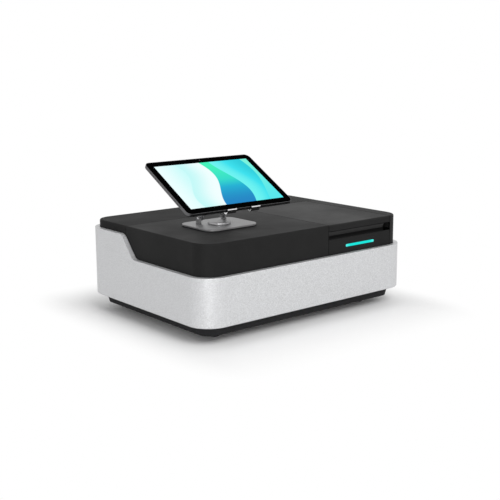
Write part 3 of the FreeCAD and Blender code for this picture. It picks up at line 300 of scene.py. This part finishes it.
def lid_plastic(name, color):
    """Moulded plastic of the lid: satin top, painted shade on the front lip, painted light on the grip below
    it.
    """
    grip_end, lip_start, lip_end = lid_stops
    paint = Paint(name, color, 0.54, specular=0.1)
    low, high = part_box("sample_lid")
    height = paint.share(paint.axes()[2], low[2], high[2])
    # Painted light: the grip is coloured 2.1 times lighter; painted shade: the front lip 0.74 times darker.
    grip_painted_light = tuple(c * 2.1 for c in color)
    lip = tuple(c * 0.74 for c in color)
    stops = [(0.0, grip_painted_light), (grip_end, grip_painted_light), (lip_start, lip), (lip_end, lip), (1.0, color)]
    shade = paint.ramp(height, stops)
    patches = paint.ramp(paint.noise(34.0, 3.0), [(0.3, 0.93), (0.7, 1.07)])
    paint.link(paint.mix(1.0, shade, patches, "MULTIPLY"), paint.shader.inputs["Base Color"])
    fine_grain(paint)
    return paint.material


def speckled(name, color):
    """Silver paint with fine metal grains."""
    paint = Paint(name, color, 0.42, metal=0.5, coat=0.05, coat_rough=0.3, specular=0.3)
    coarse = paint.noise(620.0, 3.0, 0.75)
    fine = paint.noise(1900.0, 2.0, 0.7)
    grain = paint.math("ADD", paint.math("MULTIPLY", coarse, 0.6), paint.math("MULTIPLY", fine, 0.4))
    paint.tint(grain, 0.66, 1.22, 0.36, 0.64)
    paint.vary_rough(coarse, 0.08)
    paint.bump(grain, 0.05 * mm, 0.6, painted_edge)
    return paint.material


def brushed(name, color, rough=0.32, along=(40.0, 1600.0, 1600.0), metal=1.0):
    """Metal with fine straight brush marks along X."""
    paint = Paint(name, color, rough, metal=metal)
    marks = paint.noise(1.0, 3.0, 0.6, along)
    paint.tint(marks, 0.86, 1.1)
    paint.vary_rough(marks, 0.1)
    paint.bump(marks, 0.01 * mm, 0.4)
    return paint.material


def rubber(name, color, specular=0.3):
    """Dull rubber with a dusty, uneven tone."""
    paint = Paint(name, color, 0.8, specular=specular)
    paint.tint(paint.noise(120.0, 4.0), 0.8, 1.25)
    paint.vary_rough(paint.noise(25.0, 3.0), 0.08)
    paint.bump(paint.noise(1500.0, 3.0), 0.06 * mm, 0.6)
    return paint.material


def clear(name, color, rough=0.03):
    """Clear or tinted glass."""
    paint = Paint(name, color, rough)
    paint.shader.inputs["Transmission Weight"].default_value = 0.9
    paint.vary_rough(paint.noise(60.0, 2.0), 0.02)
    return paint.material


def glowing(name, color, ends, strength):
    """Lit bar, brighter towards both ends."""
    paint = Paint(name, (0.0, 0.08, 0.08), 0.3, specular=0.1)
    middle = (status_low[0] + status_high[0]) / 2
    half = (status_high[0] - status_low[0]) / 2
    offset = paint.math("SUBTRACT", paint.axes()[0], middle)
    reach = paint.math("ABSOLUTE", paint.math("DIVIDE", offset, half))
    shown = paint.ramp(reach, [(0.0, color), (0.7, color), (1.0, ends)])
    paint.link(shown, paint.shader.inputs["Emission Color"])
    paint.shader.inputs["Emission Strength"].default_value = strength
    return paint.material


def screen_axes(paint):
    """Places across and up the screen, each from -1 to 1."""
    x, y, z = paint.axes()
    across = paint.math("DIVIDE", paint.math("SUBTRACT", x, glass_middle.x), screen_half_width)
    rise_y = paint.math("MULTIPLY", paint.math("SUBTRACT", y, glass_middle.y), math.cos(tablet_tilt))
    rise_z = paint.math("MULTIPLY", paint.math("SUBTRACT", z, glass_middle.z), math.sin(tablet_tilt))
    upward = paint.math("DIVIDE", paint.math("ADD", rise_y, rise_z), screen_half_height)
    return across, upward


def flowing_bands(paint, across, upward):
    """Generic picture of upright wavy bands in pale turquoise, blue and green."""

    def wave(place, size, turns, start):
        """Distance to the right of a wavy upright line."""
        swing = paint.math("SINE", paint.math("ADD", paint.math("MULTIPLY", upward, turns), start))
        line = paint.math("ADD", paint.math("MULTIPLY", swing, size), place)
        return paint.math("SUBTRACT", across, line)

    first = wave(-0.12, 0.15, 2.1, 0.7)
    second = wave(0.30, 0.17, 1.9, 2.4)
    third = wave(0.78, 0.14, 1.6, 1.0)
    edge = wave(-0.62, 0.12, 2.6, 0.2)
    field = paint.ramp(paint.share(across, -1.0, -0.4), [(0.0, (0.84, 1.0, 1.0)), (1.0, (0.58, 0.97, 0.96))])
    haze = paint.ramp(paint.share(edge, 0.0, 0.5), [(0.0, (0.56, 0.95, 0.94)), (1.0, (0.88, 1.0, 1.0))])
    ribbon = paint.ramp(paint.share(upward, -1.0, 1.0),
                        [(0.0, (0.02, 0.24, 0.56)), (0.34, (0.02, 0.44, 0.66)),
                         (0.6, (0.04, 0.72, 0.60)), (1.0, (0.06, 0.90, 0.50))])
    water = paint.ramp(paint.share(second, 0.0, 0.7),
                       [(0.0, (0.16, 0.90, 0.88)), (0.45, (0.05, 0.76, 0.86)), (1.0, (0.03, 0.62, 0.72))])
    shore = paint.ramp(paint.share(upward, -1.0, 1.0),
                       [(0.0, (0.10, 0.80, 0.84)), (1.0, (0.20, 0.90, 0.72))])
    picture = paint.mix(paint.share(edge, -soft_line, soft_line), field, haze)
    for line, band in ((first, ribbon), (second, water), (third, shore)):
        picture = paint.mix(paint.share(line, -sharp_line, sharp_line), picture, band)
    return picture


def lit_screen(name):
    """Black cover glass with a lit picture under it."""
    paint = Paint(name, (0.001, 0.001, 0.001), 0.2, specular=0.0)
    across, upward = screen_axes(paint)
    picture = flowing_bands(paint, across, upward)
    inside = paint.math("MULTIPLY", paint.math("LESS_THAN", paint.math("ABSOLUTE", across), 1.0),
                        paint.math("LESS_THAN", paint.math("ABSOLUTE", upward), 1.0))
    paint.link(picture, paint.shader.inputs["Emission Color"])
    paint.link(inside, paint.shader.inputs["Emission Strength"])
    return paint.material


def boards(name, color):
    """Circuit board with a pattern of small cells."""
    paint = Paint(name, color, 0.35, coat=0.4)
    cells = paint.node("ShaderNodeTexVoronoi")
    cells.inputs["Scale"].default_value = 210.0
    paint.link(paint.place, cells.inputs["Vector"])
    paint.tint(cells.outputs["Distance"], 0.6, 1.5, 0.1, 0.6)
    paint.bump(cells.outputs["Distance"], 0.1 * mm, 0.3)
    return paint.material


def ports(name, color, metal):
    """Green board with metal sockets standing on it."""
    paint = Paint(name, color, 0.4, specular=0.4)
    board_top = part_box("port_board")[0][2] + board_thick
    factor = paint.share(paint.axes()[2], board_top, board_top + 0.15 * mm)
    shade = paint.ramp(factor, [(0.0, color), (1.0, metal)])
    paint.link(shade, paint.shader.inputs["Base Color"])
    paint.vary_rough(paint.noise(60.0, 3.0), 0.1)
    paint.bump(paint.noise(900.0, 2.0), 0.03 * mm, 0.4)
    return paint.material


# Floor

def add_floor():
    """White floor that keeps the object's shadow and fades to plain white away from it."""
    mesh = bpy.data.meshes.new("floor")
    corners = [(-floor_half, -floor_half, 0), (floor_half, -floor_half, 0),
               (floor_half, floor_half, 0), (-floor_half, floor_half, 0)]
    mesh.from_pydata(corners, [], [(0, 1, 2, 3)])
    floor = bpy.data.objects.new("floor", mesh)
    floor.location.z = -floor_drop
    bpy.context.scene.collection.objects.link(floor)
    paint = Paint("floor_white", (0.95, 0.95, 0.95), 0.7, specular=0.0)
    squares = []
    for value, reach, weight in zip(paint.axes(), cad_box[1], fade_weights):
        beyond = paint.math("MAXIMUM", paint.math("SUBTRACT", paint.math("ABSOLUTE", value), reach), 0.0)
        squares.append(paint.math("POWER", paint.math("MULTIPLY", beyond, weight), 2.0))
    away = paint.math("SQRT", paint.math("ADD", squares[0], squares[1]))
    fade = paint.share(away, fade_start, fade_end)
    white = paint.node("ShaderNodeEmission")
    mix = paint.node("ShaderNodeMixShader")
    paint.link(paint.math("MULTIPLY", fade, seen_rays(paint.tree)), mix.inputs[0])
    paint.link(paint.shader.outputs[0], mix.inputs[1])
    paint.link(white.outputs[0], mix.inputs[2])
    paint.link(mix.outputs[0], paint.tree.nodes["Material Output"].inputs["Surface"])
    mesh.materials.append(paint.material)


# Finishes

def make_finishes():
    """Materials by the name of the record's slot."""
    return {
        "silver_paint": speckled("silver_speckle", (0.61, 0.615, 0.625)),
        "black_shell": moulded("shell_black", (0.0124, 0.0124, 0.0124), 0.57, specular=0.08),
        "dark_deck": lid_plastic("lid_black", (0.0138, 0.0138, 0.0138)),
        "rear_black": moulded("rear_black", (0.0125, 0.0125, 0.0125), 0.62, specular=0.07),
        "base_black": moulded("base_black", (0.017, 0.017, 0.018), 0.65, specular=0.1),
        "rubber_black": rubber("rubber_black", (0.02, 0.02, 0.02)),
        "steel": brushed("steel", (0.58, 0.58, 0.59), 0.28),
        "status_glow": glowing("status_glow", (0.0, 0.70, 0.62), (0.12, 0.80, 0.74), 1.0),
        "board_green": boards("board_green", (0.02, 0.12, 0.06)),
        "inner_black": moulded("inner_black", (0.012, 0.012, 0.012), 0.7, 1400.0, 0.08 * mm),
        "aluminium": brushed("stand_aluminium", (0.23, 0.23, 0.233), 0.36, metal=0.45),
        "black_metal": moulded("powder_black", (0.02, 0.02, 0.021), 0.6, 1100.0, 0.08 * mm),
        "clear_glass": clear("lens_glass", (0.92, 0.97, 0.98)),
        "filter_glass": clear("filter_glass", (0.75, 0.45, 0.12)),
        "mirror": brushed("mirror_coat", (0.85, 0.86, 0.87), 0.06, (300.0, 300.0, 300.0)),
        "lamp_glass": clear("lamp_glass", (0.97, 0.97, 0.95)),
        "ceramic_white": moulded("ceramic", (0.72, 0.70, 0.65), 0.3),
        "black_gloss": moulded("panel_black", (0.011, 0.011, 0.011), 0.5, 3000.0, 0.02 * mm, specular=0.08),
        "fan_black": moulded("fan_black", (0.02, 0.02, 0.022), 0.5),
        "zinc_sheet": brushed("zinc_sheet", (0.5, 0.51, 0.52), 0.4, (60.0, 60.0, 60.0)),
        "tablet_metal": brushed("tablet_metal", (0.13, 0.13, 0.135), 0.38, (900.0, 900.0, 900.0)),
        "screen_glass": lit_screen("cover_glass"),
        "display": moulded("display_edge", (0.02, 0.02, 0.02), 0.4),
        "polished": brushed("polished_aluminium", (0.78, 0.78, 0.79), 0.16, (400.0, 400.0, 400.0)),
        "contact_gold": brushed("contact_gold", (0.80, 0.58, 0.25), 0.25),
        "lamp_amber": moulded("lamp_amber", (0.75, 0.42, 0.06), 0.3),
        "lens_dark": moulded("lens_dark", (0.004, 0.005, 0.012), 0.06, 4000.0, 0.002 * mm, 0.02),
        # Matte black without gloss: painted shade for the seam strips, the lid's lip line, the hook tips and
        # the stand's pad.
        "painted_shade_black": rubber("painted_shade_black", (0.001, 0.001, 0.001), 0.0),
        "soft_aluminium": brushed("soft_aluminium", (0.5, 0.5, 0.505), 0.42, (300.0, 300.0, 300.0)),
        "port_metal": ports("port_metal", (0.02, 0.12, 0.06), (0.2, 0.2, 0.205)),
        "cell_black": moulded("anodised_black", (0.018, 0.018, 0.02), 0.38, 2400.0, 0.02 * mm, metal=0.3),
    }


def dress_nodes(finishes):
    """Give every CAD node the finish of its slot, or its own one where the photo shows another tone."""
    # The stand's pad takes the painted-shade black, so that its edge reads as the shadow line under the
    # stand's plate.
    own = {"tablet_bracket": "polished", "stand_arm": "polished", "port_board": "port_metal",
           "rear_cover": "rear_black", "stand_pad": "painted_shade_black"}
    for entry in frame["record"]["subparts"]:
        node = bpy.data.objects.get(entry["node"])
        if node is None:
            continue
        material = finishes[own.get(entry["node"], entry["material_slot"])]
        if node.material_slots:
            for slot in node.material_slots:
                slot.material = material
        else:
            node.data.materials.append(material)


# Mesh pieces

def add_piece(name, bm, body, material, smooth=True):
    """Turn a bmesh into a piece that rides on a body."""
    bmesh.ops.recalc_face_normals(bm, faces=bm.faces)
    mesh = bpy.data.meshes.new(name)
    bm.to_mesh(mesh)
    bm.free()
    mesh.materials.append(material)
    for face in mesh.polygons:
        face.use_smooth = smooth
    mesh.set_sharp_from_angle(angle=math.radians(35))
    piece = bpy.data.objects.new(name, mesh)
    bpy.context.scene.collection.objects.link(piece)
    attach(piece, body)


def facing(place, axis):
    """Transform that puts a shape made along +Z at a place, facing along an axis."""
    aim = Vector(axis).normalized().to_track_quat("Z", "Y").to_matrix().to_4x4()
    return Matrix.Translation(Vector(place)) @ aim


def add_ring(bm, radius, height, place, steps, corners=0):
    """Ring of points; with corners it is a polygon of that many sides."""
    points = []
    for i in range(steps):
        turn = 2 * math.pi * i / steps
        reach = radius
        if corners:
            half = math.pi / corners
            reach = radius * math.cos(half) / math.cos((turn % (2 * half)) - half)
        points.append(bm.verts.new(place @ Vector((reach * math.cos(turn), reach * math.sin(turn), height))))
    return points


def bridge(bm, lower, upper):
    """Faces between two closed rings of as many points."""
    count = len(lower)
    for i in range(count):
        j = (i + 1) % count
        bm.faces.new((lower[i], lower[j], upper[j], upper[i]))


def turned(bm, profile, place, steps=24):
    """Closed turned shape from (radius, height, corners) rings, capped at both ends."""
    rings = [add_ring(bm, radius, height, place, steps, corners) for radius, height, corners in profile]
    for lower, upper in zip(rings, rings[1:]):
        bridge(bm, lower, upper)
    bm.faces.new(rings[0])
    bm.faces.new(rings[-1])


def hoop(bm, profile, place, steps):
    """Ring with a closed profile of (radius, height) points."""
    loops = [add_ring(bm, radius, height, place, steps) for radius, height in profile]
    for lower, upper in zip(loops, loops[1:] + loops[:1]):
        bridge(bm, lower, upper)


def socket_screw(bm, place, radius, height):
    """Round screw head with a hexagonal socket, standing on a surface."""
    key = radius * 0.5
    head = [(radius * 0.98, 0, 0), (radius, height * 0.15, 0), (radius, height * 0.6, 0),
            (radius * 0.93, height * 0.88, 0), (radius * 0.8, height, 0)]
    socket = [(key * 1.12, height, 6), (key, height * 0.92, 6), (key, height * 0.35, 6)]
    turned(bm, head + socket, place)


def dome(bm, place, radius, height):
    """Low rounded rivet or pin end; its last ring stops short of the middle, and a flat face closes it."""
    steps = 5
    whole = steps + 0.6
    profile = [(radius, 0.0, 0)]
    for i in range(1, steps + 1):
        turn = 0.5 * math.pi * i / whole
        profile.append((radius * math.cos(turn), height * math.sin(turn), 0))
    turned(bm, profile, place)


def strip(bm, outline, place, thick, edge=0.0):
    """Flat shape from an outline of (x, y) points, thickened along Z, with eased upper edges."""
    low = [bm.verts.new(place @ Vector((x, y, 0))) for x, y in outline]
    middle = [bm.verts.new(place @ Vector((x, y, thick - edge))) for x, y in outline]
    bridge(bm, low, middle)
    top = middle
    if edge:
        centre = Vector((sum(p[0] for p in outline), sum(p[1] for p in outline))) / len(outline)
        top = []
        for x, y in outline:
            inward = centre - Vector((x, y))
            inward = inward.normalized() * edge
            top.append(bm.verts.new(place @ Vector((x + inward.x, y + inward.y, thick))))
        bridge(bm, middle, top)
    bm.faces.new(low)
    bm.faces.new(top)


def pill(half_length, half_width, steps=8):
    """Outline of a slot with round ends, long along X."""
    points = []
    for side in (1, -1):
        for i in range(steps + 1):
            turn = -math.pi / 2 + math.pi * i / steps
            points.append((side * (half_length - half_width + half_width * math.cos(turn)),
                           side * half_width * math.sin(turn)))
    return points


def on_tablet(x, upward, out):
    """Transform of a point on the tablet's glass, in metres from its middle."""
    turn = Matrix.Rotation(tablet_tilt, 4, "X")
    half = Vector((0, 0, glass_thick / 2))
    return Matrix.Translation(glass_middle) @ turn @ Matrix.Translation(Vector((x, upward, out)) + half)


# Small pieces

def add_panel_screws(finishes):
    """Screws of the rear panel and of the fan behind it."""
    low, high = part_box("rear_panel")
    fan_low, fan_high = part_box("fan_frame")
    edge = 7 * mm
    fan_edge = 5 * mm
    between_fan_and_ports = -27 * mm
    panel_xs = (low[0] + edge, between_fan_and_ports, high[0] - edge)
    panel_zs = (low[2] + edge, high[2] - edge)
    fan_xs = (fan_low[0] + fan_edge, fan_high[0] - fan_edge)
    fan_zs = (fan_low[2] + fan_edge, fan_high[2] - fan_edge)
    bm = bmesh.new()
    for xs, zs, radius, height in ((panel_xs, panel_zs, 2.4 * mm, 1.4 * mm),
                                   (fan_xs, fan_zs, 2.7 * mm, 1.2 * mm)):
        for x in xs:
            for z in zs:
                socket_screw(bm, facing((x, high[1], z), (0, 1, 0)), radius, height)
    add_piece("rear_screws", bm, "housing", finishes["steel"])


def add_shelf_screws(finishes):
    """Screws that hold the sample well by its shelf."""
    low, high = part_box("sample_well")
    rim_over_shelf = 6.4 * mm
    inset = 8 * mm
    screw_ys = (-150 * mm, -55 * mm, 20 * mm)
    bm = bmesh.new()
    for x in (low[0] + inset, high[0] - inset):
        for y in screw_ys:
            place = facing((x, y, high[2] - rim_over_shelf), (0, 0, 1))
            socket_screw(bm, place, 2.8 * mm, 1.6 * mm)
    add_piece("shelf_screws", bm, "housing", finishes["steel"])


def add_tray_ribs(finishes):
    """Stiffening ribs and cover screws under the base tray."""
    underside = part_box("base_tray")[0][2]
    rib_rows = 5
    rib_pitch = 52 * mm
    rib_half_length = 160 * mm
    rib_half_width = 1.6 * mm
    rib_depth = 2.2 * mm
    screw_x = 215 * mm
    screw_y = 152 * mm
    bm = bmesh.new()
    for row in range(rib_rows):
        y = (row - rib_rows // 2) * rib_pitch
        place = Matrix.Translation((0, y, underside - rib_depth))
        strip(bm, pill(rib_half_length, rib_half_width, 6), place, rib_depth)
    add_piece("tray_ribs", bm, "housing", finishes["base_black"])
    bm = bmesh.new()
    for x in (-screw_x, 0, screw_x):
        for y in (-screw_y, screw_y):
            socket_screw(bm, facing((x, y, underside), (0, 0, -1)), 3.4 * mm, 2.0 * mm)
    add_piece("tray_screws", bm, "housing", finishes["steel"])


def add_cap_rim(finishes):
    """Soft aluminium ring round the stand's cap."""
    low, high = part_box("stand_cap")
    middle = (Vector(low) + Vector(high)) / 2
    reach = (high[0] - low[0]) / 2
    top = high[2] - low[2]
    inner = reach - 0.5 * mm
    outer = reach + 0.45 * mm
    foot = 0.1 * mm
    profile = [(inner, foot), (reach + 0.3 * mm, foot), (outer, 0.5 * mm),
               (outer, top * 0.6), (reach + 0.1 * mm, top * 0.82), (inner, top * 0.9)]
    bm = bmesh.new()
    hoop(bm, profile, Matrix.Translation((middle.x, middle.y, low[2])), 72)
    add_piece("cap_rim", bm, "housing", finishes["soft_aluminium"])


def add_switch_marks(finishes):
    """On and off marks on the two halves of the rocker."""
    tilt = math.radians(7.0)
    face_from_pivot = 4.5 * mm
    mark_from_middle = 4.6 * mm
    relief = 0.12 * mm
    stroke = (1.9 * mm, 0.35 * mm)
    outer = 1.8 * mm
    inner = 1.15 * mm
    quarter = math.pi / 2
    whole = Matrix.Translation(pivot("switch_rock")) @ Matrix.Rotation(-tilt, 4, "X")
    middle = whole @ Matrix.Translation((0, face_from_pivot, 0))
    bm = bmesh.new()
    for side in (-1, 1):
        half = Matrix.Rotation(side * tilt, 4, "X") @ Matrix.Translation((0, 0, side * mark_from_middle))
        outward = middle @ half @ Matrix.Rotation(-quarter, 4, "X")
        if side > 0:
            strip(bm, pill(*stroke), outward @ Matrix.Rotation(quarter, 4, "Z"), relief)
        else:
            hoop(bm, [(outer, 0), (outer, relief), (inner, relief), (inner, 0)], outward, 28)
    add_piece("switch_marks", bm, "rocker", finishes["ceramic_white"])


def add_jack_contacts(finishes):
    """Eight sprung wires in the network jack, and its two small lamps."""
    low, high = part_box("port_board")
    face = high[1]
    jack_x = low[0] + 14 * mm
    wires = 8
    wire_pitch = 1.02 * mm
    wire_thick = 0.5 * mm
    wire_y = face - 13 * mm
    wire_z = high[2] - 5.4 * mm
    wire = [(0, 0), (9.5, -2.6), (9.8, -2.3), (9.6, -2.1), (0.2, 0.25)]
    outline = [(along * mm, up * mm) for along, up in wire]
    side_on = Matrix.Rotation(math.pi / 2, 4, "Y") @ Matrix.Rotation(math.pi / 2, 4, "Z")
    bm = bmesh.new()
    for i in range(wires):
        x = jack_x + (i - (wires - 1) / 2) * wire_pitch - wire_thick / 2
        strip(bm, outline, Matrix.Translation((x, wire_y, wire_z)) @ side_on, wire_thick)
    add_piece("jack_contacts", bm, "housing", finishes["contact_gold"], smooth=False)
    lamp_offset = 4.4 * mm
    lamp_z = high[2] - 3.7 * mm
    bm = bmesh.new()
    for side in (-1, 1):
        place = facing((jack_x + side * lamp_offset, face, lamp_z), (0, 1, 0))
        strip(bm, pill(1.3 * mm, 0.65 * mm), place, 0.1 * mm)
    add_piece("jack_lamps", bm, "housing", finishes["lamp_amber"])


def add_pin_ends(finishes):
    """Rounded ends of the stand's hinge pins."""
    radius = 3.1 * mm
    height = 1.3 * mm
    lower = ("lower_pin_ends", "stand_lower_hinge", "housing", 31.8 * mm)
    upper = ("upper_pin_ends", "stand_upper_hinge", "arm", 28.5 * mm)
    for name, joint, body, reach in (lower, upper):
        x, y, z = pivot(joint)
        bm = bmesh.new()
        for side in (-1, 1):
            dome(bm, facing((x + side * reach, y, z), (side, 0, 0)), radius, height)
        add_piece(name, bm, body, finishes["steel"])


def seam_strip_route(front, bottom, back, top):
    """Points (y, z, turn) up the front wall, round the edge of the deck and back along it."""
    bend = 3.0 * mm
    route = [(front, bottom, 0.0)]
    for i in range(7):
        turn = math.radians(15 * i)
        route.append((front + bend * (1 - math.cos(turn)), top - bend * (1 - math.sin(turn)), turn))
    route.append((back, top, math.pi / 2))
    return route


def add_seam_shade_strips(finishes):
    """Black strips of painted shade, sunk a little below the surface, in the two seams beside the sample
    lid, darkening them.
    """
    front_low, front_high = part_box("front_cover")
    side_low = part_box("side_cover")[0]
    panel_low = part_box("front_panel")[0]
    sink = 0.12 * mm
    deep = 2.0 * mm
    wide = 0.95 * mm
    section = ((0.0, 0.0), (wide, 0.0), (wide, deep), (0.0, deep))
    bm = bmesh.new()
    for edge, side, front in ((front_high[0], 1, front_low[1]), (side_low[0], -1, side_low[1])):
        route = seam_strip_route(front + sink, panel_low[2], front_high[1], front_high[2] - sink)
        rings = []
        for y, z, turn in route:
            inward = Vector((0.0, math.cos(turn), -math.sin(turn)))
            corners = [Vector((edge + side * across, y, z)) + inward * down for across, down in section]
            rings.append([bm.verts.new(corner) for corner in corners])
        for lower, upper in zip(rings, rings[1:]):
            bridge(bm, lower, upper)
        bm.faces.new(rings[0])
        bm.faces.new(rings[-1])
    add_piece("seam_shade_strips", bm, "housing", finishes["painted_shade_black"])


def add_lip_shade_line(finishes):
    """Black bead along the lower edge of the lid's front lip, over the grip: painted shade for the shadow
    line under the lip.
    """
    low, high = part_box("sample_lid")
    bead = 0.5 * mm
    end_gap = 1.2 * mm
    middle_y = low[1] + 0.3 * mm
    middle_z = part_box("lid_liner")[0][2] + bead
    turns = [math.radians(18 * i) for i in range(11)]
    bm = bmesh.new()
    rings = []
    for x in (low[0] + end_gap, high[0] - end_gap):
        rings.append([bm.verts.new((x, middle_y - bead * math.sin(turn), middle_z + bead * math.cos(turn)))
                      for turn in turns])
    bridge(bm, rings[0], rings[1])
    bm.faces.new(rings[0])
    bm.faces.new(rings[1])
    add_piece("lip_shade_line", bm, "lid", finishes["painted_shade_black"])


def add_hook_shade_sleeves(finishes):
    """Soft black sleeves over the tips of the bracket's two hooks; their black is painted shade for the
    hooks' underside, leaving a thin bright top.
    """
    hook_offset = 28.0 * mm
    sleeve = (10.9 * mm, 1.75 * mm)
    over_edge = 0.1 * mm
    out = 1.0 * mm
    thick = 1.3 * mm
    bm = bmesh.new()
    for side in (-1, 1):
        place = on_tablet(side * hook_offset, over_edge - tablet_height / 2, out)
        strip(bm, pill(*sleeve), place, thick, 0.3 * mm)
    add_piece("hook_shade_sleeves", bm, "tablet", finishes["painted_shade_black"])


def add_slot_marks(finishes):
    """One to four dots beside the cell slots of the carriage."""
    low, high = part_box("cell_carriage")
    slots = 4
    slot_pitch = 20 * mm
    dot_pitch = 2.4 * mm
    x = low[0] + 5 * mm
    middle_y = (low[1] + high[1]) / 2
    bm = bmesh.new()
    for slot in range(slots):
        slot_y = middle_y + (slot - (slots - 1) / 2) * slot_pitch
        for dot in range(slot + 1):
            y = slot_y + (dot - slot / 2) * dot_pitch
            dome(bm, facing((x, y, high[2]), (0, 0, 1)), 0.75 * mm, 0.2 * mm)
    add_piece("slot_marks", bm, "carriage", finishes["ceramic_white"])


def add_front_camera(finishes):
    """Camera and light sensor over the screen."""
    upward = 73.4 * mm
    sensor_x = 7 * mm
    bm = bmesh.new()
    for x, radius in ((0.0, 1.7 * mm), (sensor_x, 0.8 * mm)):
        dome(bm, on_tablet(x, upward, 0), radius, 0.05 * mm)
    add_piece("front_camera", bm, "tablet", finishes["lens_dark"])


def add_speaker_slots(finishes):
    """Two rows of four slots in each side edge of the tablet, drawn as flat dark pills: painted shade for
    the inside of the openings.
    """
    first_slot = 26 * mm
    slot_pitch = 8.5 * mm
    below_glass = -3.0 * mm
    bm = bmesh.new()
    for side in (-1, 1):
        sideways = Matrix.Rotation(side * math.pi / 2, 4, "Y") @ Matrix.Rotation(math.pi / 2, 4, "Z")
        for i in range(4):
            for half in (-1, 1):
                upward = half * (first_slot + i * slot_pitch)
                place = on_tablet(side * tablet_width / 2, upward, below_glass)
                strip(bm, pill(3.0 * mm, 0.6 * mm, 6), place @ sideways, 0.04 * mm)
    add_piece("speaker_slots", bm, "tablet", finishes["inner_black"])


def add_back_lens(finishes):
    """Lens of the tablet's rear camera."""
    lens_x = -104 * mm
    upward = 62 * mm
    behind_glass = -7.8 * mm
    backward = Matrix.Rotation(math.pi, 4, "X")
    bm = bmesh.new()
    dome(bm, on_tablet(lens_x, upward, behind_glass) @ backward, 3.6 * mm, 0.25 * mm)
    add_piece("back_camera_lens", bm, "tablet", finishes["lens_dark"])


# Scene

bpy.context.scene.view_settings.view_transform = "Standard"
add_camera()
add_world(light=0.58, shown=1.0)
add_floor()
lamp_aim = (0, 0, 0.1)
add_area("key", (-0.6, -2.45, 2.1), lamp_aim, size=1.5, power=43)
add_area("corner", (-1.75, -2.0, 0.5), lamp_aim, size=0.5, power=16)
finishes = make_finishes()
dress_nodes(finishes)
add_panel_screws(finishes)
add_shelf_screws(finishes)
add_tray_ribs(finishes)
add_cap_rim(finishes)
add_switch_marks(finishes)
add_jack_contacts(finishes)
add_pin_ends(finishes)
add_slot_marks(finishes)
add_seam_shade_strips(finishes)
add_lip_shade_line(finishes)
add_hook_shade_sleeves(finishes)
add_front_camera(finishes)
add_speaker_slots(finishes)
add_back_lens(finishes)
